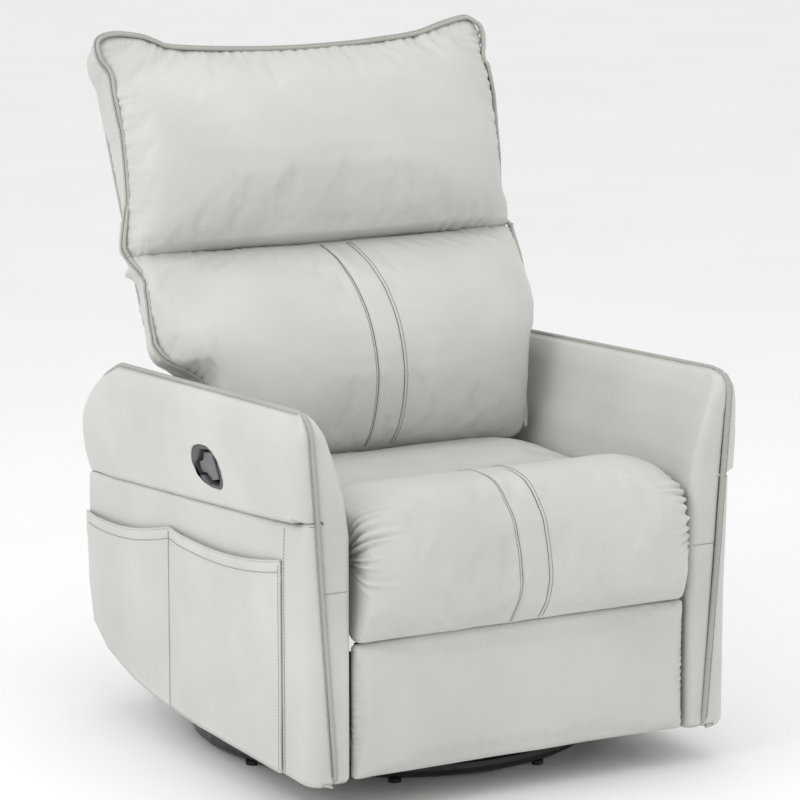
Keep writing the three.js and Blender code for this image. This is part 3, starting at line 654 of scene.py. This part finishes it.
def beside(rim, way, inward, forward):
    """The rim's line moved towards the middle of the panel and forward, by so much where the line is upright and
    so much where it is level."""
    out = []
    for i, p in enumerate(rim):
        along = (rim[min(i + 1, len(rim) - 1)] - rim[max(i - 1, 0)]).normalized()
        level = abs(along.x)
        inside = Vector((-along.z, 0, along.x)) * way
        out.append(p + inside * lerp(*inward, level) - Vector((0, lerp(*forward, level), 0)))
    return out


def double_welt(label, rim, way):
    """The two cords round a cushion's edge with the row of stitches between them."""
    welt(f"{label}_welt_outer", beside(rim, way, (-0.6, -0.5), (-0.6, -1.4)), PIPING, "back", ON_BACK)
    welt(f"{label}_welt_inner", beside(rim, way, (0.4, 3.4), (6.0, 4.0)), PIPING * 0.9, "back", ON_BACK)
    line = beside(rim, way, (-3.0, -0.4), (3.2, 2.8))
    normals = [Vector((0, -1, 0))] * len(line)
    stitches(f"{label}_welt_stitches", line, normals, "back", 5.4, 3.4, 0.9, ON_BACK)


def build_head():
    outline = whole_line(HEAD_LEFT, [(0, 667)], HEAD_RIGHT)
    floor = [Vector((-p.x, p.y)) for p in crease_line(0.5)]
    piece = back_cushion("head_cushion_cover", "head_cushion", outline, floor, HEAD_FULLEST, HEAD_WIDE, 1.0)
    rim = on_rim(outline)
    line = [ON_BACK @ p for p in rim]
    pucker(piece, line, 2.0, 22.0, 21.0, 2.0)
    pucker(piece, line, 0.9, 30.0, 9.0, 3.0)
    fold_crease(piece, 1.0)
    double_welt("head", rim, 1)


def fold_crease(piece, seed):
    """The small folds either side of the seam between the two cushions, towards its ends."""
    line = [ON_BACK @ Vector((x, lerp(4, 30, ease((abs(x) - 215) / 120)), read(CREASE, x))) for x in range(-340, 341, 5)]
    pucker(piece, line, 1.8, 22.0, 23.0, seed + 11, lambda p: ease((abs(p[0]) / MM - 120) / 90))


def build_lumbar():
    outline = whole_line(LUMBAR_LEFT, [(0, -2)], LUMBAR_RIGHT)
    ceiling = [Vector((-p.x, p.y)) for p in crease_line(-0.5)]
    piece = back_cushion("lumbar_cushion_cover", "lumbar_cushion", outline, ceiling, LUMBAR_FULLEST, LUMBAR_WIDE,
                         4.0)
    fold_crease(piece, 2.0)
    for word, side in SIDES:
        rim = [p for p in on_rim(outline) if p.x * side > 250 and p.z > 4]
        pucker(piece, [ON_BACK @ p for p in rim], 1.3, 15.0, 17.0, 6.0 + side)
        double_welt(f"lumbar_{word}", rim, -1)
    band_seams(piece, "lumbar", [(0, 0, s) for s in range(4, 342, 2)])


def band_seams(piece, label, centre):
    """The two seams of the centre band, pressed into the cover, each with a dark tube in its groove as painted shadow
    and its row of stitches.
    """
    def found(tree, offset, lift):
        return laid_on(tree, [(offset, y, z) for _, y, z in centre], (0, 1, 0), ON_BACK, lift)

    tree = surface_tree(piece)
    carve(piece, [[ON_BACK @ p for p in found(tree, BAND_HALF * side, 0)[0]] for _, side in SIDES], 2.6, 2.8)
    tree = surface_tree(piece)
    for word, side in SIDES:
        seam, _ = found(tree, BAND_HALF * side, -0.2)
        # dark tube along the groove: painted shadow inside the seam
        make(f"{label}_band_seam_{word}", *tube(seam, 0.8, 6), SHADE, "back", "leather", ON_BACK)
        line, normals = found(tree, (BAND_HALF + 4.5) * side, 0.3)
        stitches(f"{label}_band_stitches_{word}", line, normals, "back", matrix=ON_BACK)


def build_back_cover():
    half = [(120, 676), (200, 674), (276, 677), (298, 650), (305, 600), (305, 320), (301, 240), (282, 198), (266, 170),
            (262, 60), (260, -14), (180, -18)]
    outline = spaced(spline(both_ways(half), True, 6), 9.0, True)
    layers = [(BACK_DEPTH + 1, 6), (BACK_DEPTH + 10, 0), (BACK_DEPTH + 22, 4), (BACK_DEPTH + 31, 16)]
    piece = block("back_rear_cover", outline, layers, "back", ON_BACK)
    remesh(piece, ON_BACK)

    def swell(x, d, s):
        if d < BACK_DEPTH + 20:
            return x, d, s
        edge = min(318 - abs(x), s + 18, 690 - s)
        return x, d + 5 * (1 - math.exp(-max(edge, 0) / 60)), s

    shape(piece, ON_BACK, swell)
    soften(piece)
    ripple(piece, 1.5, 120.0, 12.0)
    rim = [Vector((p.x, BACK_DEPTH + 26, p.y)) for p in rim_scaled(outline, 7.0)]
    ring = rim + rim[:1]
    pucker(piece, [ON_BACK @ p for p in ring], 0.9, 14.0, 19.0, 21.0)
    welt("back_rear_welt", ring, PIPING * 0.9, "back", ON_BACK)
    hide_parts("back_cover")
    return piece


def rim_scaled(outline, inset):
    """A closed outline moved inward by inset."""
    count = len(outline)
    area = sum(a.x * b.y - a.y * b.x for a, b in zip(outline, outline[1:] + outline[:1]))
    sign = 1 if area > 0 else -1
    out = []
    for i, p in enumerate(outline):
        along = (outline[(i + 1) % count] - outline[i - 1]).normalized()
        out.append(p + Vector((-along.y, along.x)) * inset * sign)
    return out


# ---- seat cushion ----
ROLL_BOTTOM = PAD_HIGH.z + 0.8
SEAT_SIDE = [(-384, ROLL_BOTTOM), (-360, 272), (-200, 314), (60, 314), (100, 318), (107, 340), (107, 400), (80, 419),
             (56, 429), (-60, 433), (-170, 438), (-240, 452), (-295, 465), (-340, 465.5), (-372, 460), (-400, 450),
             (-420, 437), (-434, 418), (-440, 390), (-441, 360), (-437, 317), (-428, 291), (-414, 270),
             (-411, ROLL_BOTTOM), (-400, ROLL_BOTTOM)]
ROLL_Y = -345
ROLL_Z = 375
SEAT_HALF = 279


def seat_sag(x, y, z):
    """Rounds the seat's ends and draws the right end of the roll in from the arm."""
    if y < ROLL_Y + 60:
        x += 4 * clamp((-230 - x) / 48) * clamp((z - 285) / 40)
    end = clamp((abs(x) - 205) / (SEAT_HALF - 205)) ** 2.4
    if y < ROLL_Y + 60 and z > 285:
        shrink = 1 - 0.15 * end * clamp((z - 285) / 60)
        return x, ROLL_Y + (y - ROLL_Y) * shrink, ROLL_Z + (z - ROLL_Z) * shrink
    if z > 380:
        return x, y, z - 13.5 * end
    corner = clamp((abs(x) - 250) / 20) * clamp((292 - z) / 20) * clamp((-370 - y) / 20)
    return x + math.copysign(2.5, x) * corner, y, z - 1.6 * corner


def seat_gathers(piece):
    """The pleats that run in from both ends of the front roll."""
    co, normals = points_of(piece), normals_of(piece)
    for i, p in enumerate(co):
        x, y, z = p[0] / MM, p[1] / MM + BOX_CENTRE_Y, p[2] / MM
        if abs(x) < 180 or y > ROLL_Y + 20:
            continue
        angle = math.degrees(math.atan2(z - ROLL_Z, ROLL_Y - y))
        place_on_roll = ease((angle + 32) / 26) * ease((82 - angle) / 30)
        side = 1 if x > 0 else -1
        reach = 52 + 60 * wobble((angle, side * 50, 0), 11.0, 5.0)
        run = clamp(1 - (SEAT_HALF - abs(x)) / max(reach, 18)) ** 1.6
        phase = math.radians(angle) * 34 + 6.0 * wobble((angle, side * 90, 0), 15.0, 2.0)
        depth = 0.35 + 1.5 * abs(wobble((angle, side * 30, 4), 9.0, 8.0))
        strength = 7.5 if side < 0 else 5.0
        co[i] += normals[i] * MM * strength * depth * run * place_on_roll * math.sin(phase)
    set_points(piece, co)


def build_seat():
    outline = spaced(spline(SEAT_SIDE, True, 8), 9.0, True)
    half = SEAT_HALF
    layers = [(-half, 5), (-half + 4, 1), (-half + 12, 0), (half - 12, 0), (half - 4, 1), (half, 5)]
    piece = block("seat_cushion_cover", outline, layers, "seat_frame", IN_ROW, lambda u, w, d: (d, u, w))
    remesh(piece, IN_ROW, 6.5)
    shape(piece, IN_ROW, seat_sag)
    local = local_points(piece, IN_ROW)
    held = [i for i, (x, y, z) in enumerate(local)
            if abs(x) > half - 5 or (z < 330 and y > -360) or y > 96 or z < 274]
    inflate(piece, held, slack=0.015, cap=9.0)
    soften(piece)
    seat_gathers(piece)
    ripple(piece, 1.6, 110.0, 31.0)
    ripple(piece, 0.5, 28.0, 33.0)
    seat_band(piece)
    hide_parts("seat_cushion")
    return piece


def roll_line(tree, x, lift):
    """A line over the front roll, from its crest down its front, found along rays towards its middle."""
    points, normals = [], []
    for angle in range(136, -60, -1):
        a = math.radians(angle)
        ray = Vector((0, math.cos(a), -math.sin(a)))
        start = place(x, ROLL_Y, ROLL_Z) - ray * 0.3
        hit, normal, _, _ = tree.ray_cast(start, ray)
        if hit is not None:
            points.append(IN_ROW.inverted() @ hit + normal * lift)
            normals.append(normal)
    return points, normals


def seat_band(piece):
    tree = surface_tree(piece)
    lines = [roll_line(tree, BAND_HALF * side, 0)[0] for _, side in SIDES]
    carve(piece, [[IN_ROW @ p for p in line] for line in lines], 2.4, 2.6)
    tree = surface_tree(piece)
    for word, side in SIDES:
        seam, _ = roll_line(tree, BAND_HALF * side, -0.2)
        # dark tube along the groove: painted shadow inside the seam
        make(f"seat_band_seam_{word}", *tube(seam, 0.8, 6), SHADE, "seat_frame", "leather")
        line, normals = roll_line(tree, (BAND_HALF + 4.5) * side, 0.3)
        stitches(f"seat_band_stitches_{word}", line, normals, "seat_frame")


# ---- footrest pad ----
def build_footrest():
    low, high = PAD_LOW, PAD_HIGH
    half = high.x - 1
    outline = spaced([Vector(p) for p in ((-half, low.z), (half, low.z), (half, high.z), (-half, high.z))], 8.0, True)
    front, rear = low.y, high.y
    layers = [(rear, 6), (rear - 6, 0), (front + 12, 0), (front + 6, 2), (front + 4, 8)]
    piece = block("footrest_pad_cover", outline, layers, "footrest", IN_ROW)
    remesh(piece, IN_ROW, 5.0)
    local = local_points(piece, IN_ROW)
    rim = [(abs(abs(x) - half) < 5 or abs(z - low.z) < 5 or abs(z - high.z) < 5) for x, _, z in local]
    held = [i for i, (x, y, z) in enumerate(local) if y > front + 12 and (rim[i] or y > rear - 4)]
    inflate(piece, held, slack=0.01, cap=4.0)
    soften(piece)
    for word, side in SIDES:
        edge = [place(side * half, front + 9, z) for z in range(int(low.z), int(high.z), 3)]
        pucker(piece, edge, 1.6, 9.0, 11.0, 41.0 + side)
    ripple(piece, 0.8, 80.0, 44.0)
    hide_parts("footrest_pad")
    return piece


# ---- arms ----
EDGE_TOP = [(-376, 606), (255, 569), (316, 540), (361, 500), (387, 464), (398, 427), (390, 399), (375, 380)]
LOW_EDGE = [(-412, 56), (-42, 56), (104, 62), (198, 75), (286, 99), (344, 136)]
SEAM_EDGE = [(-412, 450), (-309, 439), (372, 377)]
REAR_EDGE = [(136, 344), (198, 359), (290, 371), (376, 372)]
WELT_X = [(56, 316), (344, 337), (450, 344), (560, 352), (590, 354), (606, 353)]
OUTER_X = [(370, 362), (400, 368), (450, 375), (510, 378), (560, 375), (585, 369), (606, 358)]
INNER_X = [(50, 289), (425, 289), (480, 297), (530, 311), (575, 327), (600, 340), (606, 346)]
NOSE = 34
CORNER = 25
INNER_CORNER = 13


def front_y(z):
    """The front of the arm, with its rounded top corner."""
    over = clamp((z - (606 - NOSE)) / NOSE)
    return ARM_FRONT + 1.5 + NOSE * (1 - math.sqrt(max(0.0, 1 - over * over)))


def resampled(line, count):
    lengths = np.cumsum([0] + [(b - a).length for a, b in zip(line, line[1:])])
    wanted = np.linspace(0, lengths[-1], count)
    return [Vector(p) for p in zip(*[np.interp(wanted, lengths, [q[i] for q in line]) for i in range(len(line[0]))])]


def edge_line():
    """The arm's top edge in (y, z), from the front corner to the rear end of the seam."""
    rear = spline([Vector(p) for p in EDGE_TOP[1:]], False, 8)
    return [Vector(EDGE_TOP[0])] + rear


def skin(name, rows, material, side, node_name=None, thick=2.6, flip=False):
    """A leather panel from rows of (x, y, z), on one side of the chair, with its real thickness inward."""
    columns = len(rows[0])
    vertices = [(x * side, y, z) for row in rows for x, y, z in row]
    faces = grid_faces(len(rows), columns)
    if (side < 0) != flip:
        faces = [tuple(reversed(f)) for f in faces]
    piece = make(name, vertices, faces, material, "seat_frame", "leather")
    with_modifier(piece, "SOLIDIFY", thickness=thick * MM, offset=-1.0)
    bake_modifiers(piece)
    if node_name:
        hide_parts(node_name)
    return piece


def front_columns(z, inner):
    """Columns of the front strip and its rounded corner at height z: (x, y) from the welt outward."""
    weld = read(WELT_X, z)
    if inner:
        edge, way, corner = read(INNER_X, z), -1, INNER_CORNER
    else:
        edge, way = (read(OUTER_X, z) if z > 452 else ARM_OUTER), 1
        corner = CORNER
    corner = min(corner, abs(edge - weld) * 0.85)
    y = front_y(z)
    out = []
    for k in range(6):
        t = k / 6
        out.append((lerp(weld, edge - way * corner, t), y + rounding(t * 12, 6) * 0.8))
    for k in range(9):
        a = math.pi / 2 * k / 8
        out.append((edge - way * corner * (1 - math.sin(a)), y + corner * (1 - math.cos(a))))
    return out


def lower_panel(side):
    """The side of the arm below its bolster, wrapped round the front corner and the rear edge."""
    rows = []
    count = 76
    for r in range(-3, 58):
        v = clamp(r / 54)
        tuck = max(-r * 5.0, (r - 54) * 2.5, 0.0)
        z_front = lerp(56, 450, v)
        row = [(x, y, z_front) for x, y in front_columns(min(z_front, 451), False)]
        rear = read(REAR_EDGE, lerp(136, 376, v)) - 1
        start = row[-1][1]
        for k in range(1, count + 1):
            y = lerp(start, rear - 12, k / count)
            z = lerp(read(LOW_EDGE, y), read(SEAM_EDGE, y), v)
            row.append((ARM_OUTER, y, z))
        for k in range(1, 7):
            a = math.pi / 2 * k / 6
            z = lerp(read(LOW_EDGE, rear), read(SEAM_EDGE, rear), v)
            row.append((ARM_OUTER - 12 + 12 * math.cos(a), rear - 12 + 12 * math.sin(a), z))
        for k in range(1, 5):
            row.append((ARM_OUTER - 12 - 13 * k, rear, row[-1][2]))
        rows.append([panel_puff(p, v, tuck) for p in row])
    return skin(f"arm_side_panel_{name_of(side)}", rows, HIDE, side, f"arm_lower_cover_{name_of(side)}")


def name_of(side):
    return "left" if side > 0 else "right"


def panel_puff(p, v, tuck):
    """Rolls the panel's edges inward and gives it a little fullness."""
    x, y, z = p
    top = (1 - v) * 390
    low = v * 390
    drop = rounding(top, 3) + rounding(low, 7) * 0.8 + tuck
    full = 1.6 * math.sin(math.pi * clamp(v)) * clamp((y + 380) / 60)
    full += 1.1 * wobble((y, z, 5), 120.0, 7.0) * clamp((y + 400) / 40)
    if y < ARM_FRONT + 12 and x < ARM_OUTER - CORNER + 4:
        return x, y + drop, z
    return x - drop + min(full, 0.8), y, z


def bolster(side):
    """The padded upper part of the arm's outer side."""
    rows = []
    count = 90
    top = resampled(edge_line(), count + 1)
    low = [Vector((lerp(-387, 371, k / count), 0)) for k in range(count + 1)]
    low = [Vector((p.x, read(SEAM_EDGE, p.x) + 0.7)) for p in low]
    for r in range(-3, 31):
        v = clamp(r / 30)
        tuck = max(-r * 2.5, 0.0)
        z_front = lerp(450.8, 605.5, v)
        row = [(x, y, z_front) for x, y in front_columns(z_front, False)]
        start = Vector((row[-1][1], z_front))
        for k in range(1, count + 1):
            t = k / count
            straight = low[k].lerp(top[k], v)
            straight += (start - low[0].lerp(top[0], v)) * (1 - t) ** 10
            row.append((0, straight.x, straight.y))
        rows.append([bolster_puff(p, v, i - 14, count, low, top, tuck) for i, p in enumerate(row)])
    piece = skin(f"arm_bolster_{name_of(side)}", rows, HIDE, side, f"arm_upper_cover_{name_of(side)}")
    return piece


def bolster_puff(p, v, index, count, low, top, tuck):
    x, y, z = p
    k = clamp(index, 0, count)
    height = (top[int(k)] - low[int(k)]).length
    to_top, to_low = (1 - v) * height, v * height
    if index <= 0:
        drop = rounding(to_low, 3) + tuck
        if x < read(OUTER_X, z) - 14:
            return x, y + drop, z
        return x - drop * 0.7, y + drop * 0.5, z
    t = index / count
    full = read(OUTER_X, z) + 1.0
    edge = lerp(354, 350, t)
    fade = ease((1 - t) / 0.16)
    full = lerp(edge + 7, full, fade)
    arch = math.sqrt(max(0.0, 1 - (1 - clamp(to_top / 42)) ** 2))
    x = lerp(edge, full, arch) - rounding(to_low, 4) - tuck + 0.9 * wobble((y, z, 0), 70.0, 3.0)
    return x, y, z


def inner_panel(side):
    """The arm's inner side, from the floor edge up and over to the top welt."""
    rows = []
    count = 84
    top = resampled(edge_line(), count + 1)
    low = [Vector((lerp(-397, 340, k / count), 0)) for k in range(count + 1)]
    low = [Vector((p.x, read(LOW_EDGE, p.x))) for p in low]
    for r in range(0, 71):
        v = r / 70
        z_front = lerp(56, 605.5, v)
        row = [(x, y, z_front) for x, y in front_columns(z_front, True)]
        start = Vector((row[-1][1], z_front))
        for k in range(1, count + 1):
            t = k / count
            straight = low[k].lerp(top[k], v)
            straight += (start - low[0].lerp(top[0], v)) * (1 - t) ** 10
            row.append((0, straight.x, straight.y))
        rows.append([inner_puff(p, v, i - 14, count, low, top) for i, p in enumerate(row)])
    return skin(f"arm_inner_panel_{name_of(side)}", rows, HIDE, side, f"arm_inner_pad_{name_of(side)}",
                flip=True)


def inner_puff(p, v, index, count, low, top):
    x, y, z = p
    height = (top[int(clamp(index, 0, count))] - low[int(clamp(index, 0, count))]).length
    to_top, to_low = (1 - v) * height, v * height
    if index <= 0:
        return x, y + rounding(to_low, 7), z
    t = index / count
    drop = max(0.0, 606 - top[int(index)].y) * 0.9
    full = read(INNER_X, min(z + drop * clamp((z - 400) / 100), 606))
    edge = lerp(349, 346, t)
    arch = math.sqrt(max(0.0, 1 - (1 - clamp(to_top / 30)) ** 2))
    full = min(full, edge)
    return lerp(edge, full, arch) + rounding(to_low, 7), y, z


def edge_welt(side):
    """The welt that runs up the front of the arm and back along its top edge."""
    front = [(read(WELT_X, z), front_y(z) - 1.0 + 3 * ease((76 - z) / 12), z) for z in range(64, 606, 6)]
    top = [(lerp(353, 349, i / 60), p.x, p.y + 1.0) for i, p in enumerate(resampled(edge_line(), 61))]
    line = [(x * side, y, z) for x, y, z in front + top[1:]]
    word = name_of(side)
    welt(f"arm_welt_{word}", line, PIPING * 1.05, "seat_frame")
    near = [((x + 6.0) * side, y - 0.5, z) for x, y, z in front]
    stitches(f"arm_welt_stitches_{word}", near, [Vector((0, -1, 0))] * len(near), "seat_frame")


def arm_puckers(side, outer, inner):
    """Gathers round the arm's front top corner, where both panels are eased onto the welt."""
    front = [place(read(WELT_X, z) * side, front_y(z), z) for z in range(470, 606, 3)]
    top = [place(353 * side, y, 606 - (y + 376) * 0.0618) for y in range(-376, -250, 3)]
    line = front + top
    pucker(outer, line, 1.7, 10.0, 9.5, 51.0 + side)
    pucker(inner, line, 1.3, 10.0, 11.0, 54.0 + side)


def side_topstitch(side, panel):
    """The vertical seam behind the side panel's front corner."""
    tree = surface_tree(panel)
    seam = [(side * 500, -336, z) for z in range(62, 438, 4)]
    line, _ = laid_on(tree, seam, (-side, 0, 0), IN_ROW)
    carve(panel, [[IN_ROW @ p for p in line]], 0.9, 2.2)
    tree = surface_tree(panel)
    line, normals = laid_on(tree, seam, (-side, 0, 0), IN_ROW, 0.2)
    stitches(f"arm_side_stitches_{name_of(side)}", line, normals, "seat_frame", 5.2, 3.6, 0.6)


def front_seams(side, inner, outer):
    """The short level seams on the arm's front strips."""
    for label, piece, z, x0, x1 in (("inner", inner, 345, ARM_INNER + 6, 334), ("outer", outer, 446, 349, 358)):
        tree = surface_tree(piece)
        seam = [(side * x, -700, z) for x in np.linspace(x0, x1, 14)]
        line, normals = laid_on(tree, seam, (0, 1, 0), IN_ROW, 0.2)
        if len(line) > 3:
            stitches(f"arm_front_stitches_{label}_{name_of(side)}", line, normals, "seat_frame", 4.2, 3.0)


def build_arm(side):
    lower = lower_panel(side)
    upper = bolster(side)
    inner = inner_panel(side)
    if side < 0:
        cut_cup_hole(upper)
    arm_puckers(side, upper, inner)
    edge_welt(side)
    side_topstitch(side, lower)
    front_seams(side, inner, lower)
    return lower


def cut_cup_hole(piece):
    """Opens the right bolster where the handle's cup sits, just under the cup's rim."""
    low, high = box_mm("handle_bezel")
    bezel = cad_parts["handle_bezel"]
    places = [bezel.matrix_world @ v.co / MM + Vector((0, BOX_CENTRE_Y, 0)) for v in bezel.data.vertices]
    flat = [Vector((p.y, p.z)) for p in places]
    rim = [flat[i] for i in geometry.convex_hull_2d(flat)]
    centre = sum(rim, Vector((0, 0))) / len(rim)
    hole = spaced([centre.lerp(p, 0.96) for p in rim], 4.0, True)
    block_piece = block("cup_cutter", hole, [(low.x - 30, 0), (high.x + 30, 0)], "seat_frame", IN_ROW,
                        lambda u, w, d: (d, u, w))
    modifier = with_modifier(piece, "BOOLEAN", operation="DIFFERENCE", solver="EXACT")
    modifier.object = block_piece
    bake_modifiers(piece)
    bpy.data.objects.remove(block_piece)


# ---- side pocket ----
POCKET_FRONT = -330
POCKET_SPLIT = 51
POCKET_NEAR = 361.6


def pocket_top(y):
    """The hem of the two mouths: a scallop on either side of the split."""
    if y < POCKET_SPLIT:
        t = (y - POCKET_FRONT) / (POCKET_SPLIT - POCKET_FRONT)
        return lerp(381, 351, t) - 15 * math.sin(math.pi * t) * (1 - 0.25 * t)
    t = clamp((y - POCKET_SPLIT) / (369 - POCKET_SPLIT))
    return lerp(351, 313, t) - 14 * math.sin(math.pi * t) * (1 - 0.1 * t)


def pocket_stand(y, v):
    """How far the pocket's leather stands off the side panel."""
    edge = min(y - POCKET_FRONT, 366 - y)
    split = abs(y - POCKET_SPLIT)
    open_mouth = 5.2 * ease(v * 1.4 - 0.35) * ease(split / 60) * ease(edge / 55)
    return 1.2 + 1.6 * ease(edge / 14) + open_mouth


def build_pocket():
    rows = []
    count = 110
    for r in range(0, 41):
        v = r / 40
        row = []
        for k in range(count + 1):
            rear = read(REAR_EDGE, lerp(136, 315, v)) - 4
            y = lerp(POCKET_FRONT, rear, k / count)
            z = lerp(read(LOW_EDGE, y) + 4, pocket_top(y), v)
            hem = 0.8 * math.exp(-(((1 - v) * 250 - 17) / 2.4) ** 2)
            row.append((POCKET_NEAR + 2.4 + pocket_stand(y, v) - hem + 0.5 * wobble((y, z, 0), 45.0, 9.0), y, z))
        rows.append(row)
    piece = skin("side_pocket_panel", rows, HIDE, -1, "side_pocket", thick=2.2)
    tree = surface_tree(piece)
    hem = [(-500, y, pocket_top(y) - 17) for y in range(POCKET_FRONT + 6, 360, 5)]
    line, normals = laid_on(tree, hem, (1, 0, 0), IN_ROW, 0.2)
    stitches("pocket_hem_stitches", line, normals, "seat_frame", 5.0, 3.4, 0.55)
    edge = [(-500, POCKET_FRONT + 5, z) for z in range(64, 378, 4)]
    line, normals = laid_on(tree, edge, (1, 0, 0), IN_ROW, 0.2)
    stitches("pocket_edge_stitches", line, normals, "seat_frame", 5.0, 3.4, 0.55)
    split = [(-500, POCKET_SPLIT, z) for z in range(66, 350, 4)]
    line, normals = laid_on(tree, split, (1, 0, 0), IN_ROW, 0.2)
    carve(piece, [[IN_ROW @ p for p in line]], 0.8, 2.4)
    stitches("pocket_split_stitches", line, normals, "seat_frame", 5.0, 3.4, 0.55)
    lip = [(-(POCKET_NEAR + 2.4 + pocket_stand(y, 1.0) - 1.1), y, pocket_top(y)) for y in range(POCKET_FRONT, 366, 4)]
    welt("pocket_mouth_roll", lip, 1.9, "seat_frame", material=HIDE)


# ---- rear panel and hard pieces ----
def build_rear_panel():
    low, high = REAR_LOW, REAR_HIGH
    half = high.x - 1
    outline = spaced([Vector(p) for p in ((-half, low.z), (half, low.z), (half, high.z), (-half, high.z))], 9.0, True)
    layers = [(low.y + 1, 4), (low.y + 4, 0), (high.y - 6, 0), (high.y - 2, 3), (high.y - 1, 9)]
    piece = block("rear_panel_cover", outline, layers, "seat_frame", IN_ROW)
    remesh(piece, IN_ROW, 6.0)
    soften(piece)
    ripple(piece, 1.0, 100.0, 61.0)
    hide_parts("rear_panel")


def rounded_copy(node_name, name, body, material, width, segments=3):
    """A moulded piece: the frame's own shape with its edges rounded."""
    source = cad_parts[node_name]
    piece = bpy.data.objects.new(name, source.data.copy())
    bpy.context.scene.collection.objects.link(piece)
    piece.data.materials.clear()
    piece.data.materials.append(material)
    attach(piece, body)
    with_modifier(piece, "WELD", merge_threshold=0.00005)
    with_modifier(piece, "DECIMATE", decimate_type="DISSOLVE", angle_limit=math.radians(2))
    with_modifier(piece, "BEVEL", width=width * MM, segments=segments, limit_method="ANGLE",
                  angle_limit=math.radians(24), harden_normals=False)
    bake_modifiers(piece)
    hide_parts(node_name)
    return piece


def build_handle():
    rounded_copy("handle_bezel", "handle_cup", "seat_frame", BEZEL, 1.6)
    rounded_copy("release_lever", "handle_paddle", "release_lever", LEVER, 1.3)


def finish_carried_nodes():
    for name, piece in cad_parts.items():
        kind = next((CARRIED[s] for s in node_slots(piece) if s in CARRIED), None)
        if name.startswith(WRAPPED):
            kind = HIDE
        for slot in piece.material_slots:
            slot.material = kind or BLACK_STEEL


def node_slots(piece):
    return [slot.material.name.split(".")[0] for slot in piece.material_slots if slot.material]


# ---- studio ----
def build_studio():
    scene = bpy.context.scene
    mesh = bpy.data.meshes.new("studio_floor")
    reach = 30.0
    mesh.from_pydata([(-reach, -reach, 0), (reach, -reach, 0), (reach, reach, 0), (-reach, reach, 0)], [],
                     [(0, 1, 2, 3)])
    floor = bpy.data.objects.new("studio_floor", mesh)
    scene.collection.objects.link(floor)
    material, tree, shader = new_material("pale_floor", Roughness=0.7)
    tone = ramp(tree, noise_at(tree, object_space(tree), 1.5), [(0.3, (0.9, 0.9, 0.9)), (0.7, (0.92, 0.92, 0.92))])
    tree.links.new(tone, shader.inputs["Base Color"])
    mesh.materials.append(material)
    world = bpy.data.worlds.new("studio")
    scene.world = world
    world.use_nodes = True
    world.node_tree.nodes["Background"].inputs["Color"].default_value = (1.0, 1.0, 1.0, 1)
    world.node_tree.nodes["Background"].inputs["Strength"].default_value = 0.92
    for name, spot, size, power, colour in (
        ("key_light", (-3.0, -0.6, 2.6), 1.8, 36, (0.96, 0.985, 1.0)),
        ("fill_light", (1.6, -3.6, 2.2), 2.2, 9, (1.0, 0.985, 0.96)),
        ("top_light", (0.3, 0.2, 3.4), 1.8, 12, (1.0, 1.0, 1.0)),
        ("side_light", (3.4, -0.9, 2.3), 0.8, 5, (1.0, 0.99, 0.97)),
    ):
        light = bpy.data.lights.new(name, "AREA")
        light.size = size
        light.energy = power
        light.color = colour
        lamp = bpy.data.objects.new(name, light)
        scene.collection.objects.link(lamp)
        lamp.location = spot
        lamp.rotation_euler = (Vector((0, 0, 0.55)) - Vector(spot)).to_track_quat("-Z", "Y").to_euler()
    scene.view_settings.view_transform = "Standard"


def build_camera():
    camera = bpy.data.cameras.new("camera")
    camera.lens = 169.851
    camera.sensor_width = 36
    camera.clip_end = 100
    holder = bpy.data.objects.new("camera", camera)
    bpy.context.scene.collection.objects.link(holder)
    holder.location = (-2.73365, -5.10658, 1.70218)
    pitch, yaw = math.radians(11.5202), math.radians(28.33725)
    toward = Vector((math.sin(yaw) * math.cos(pitch), math.cos(yaw) * math.cos(pitch), -math.sin(pitch)))
    holder.rotation_euler = toward.to_track_quat("-Z", "Y").to_euler()
    bpy.context.scene.camera = holder


build_camera()
build_studio()
finish_carried_nodes()
build_head()
build_lumbar()
build_back_cover()
build_seat()
build_footrest()
for _, arm_side in SIDES:
    build_arm(arm_side)
build_pocket()
build_rear_panel()
build_handle()
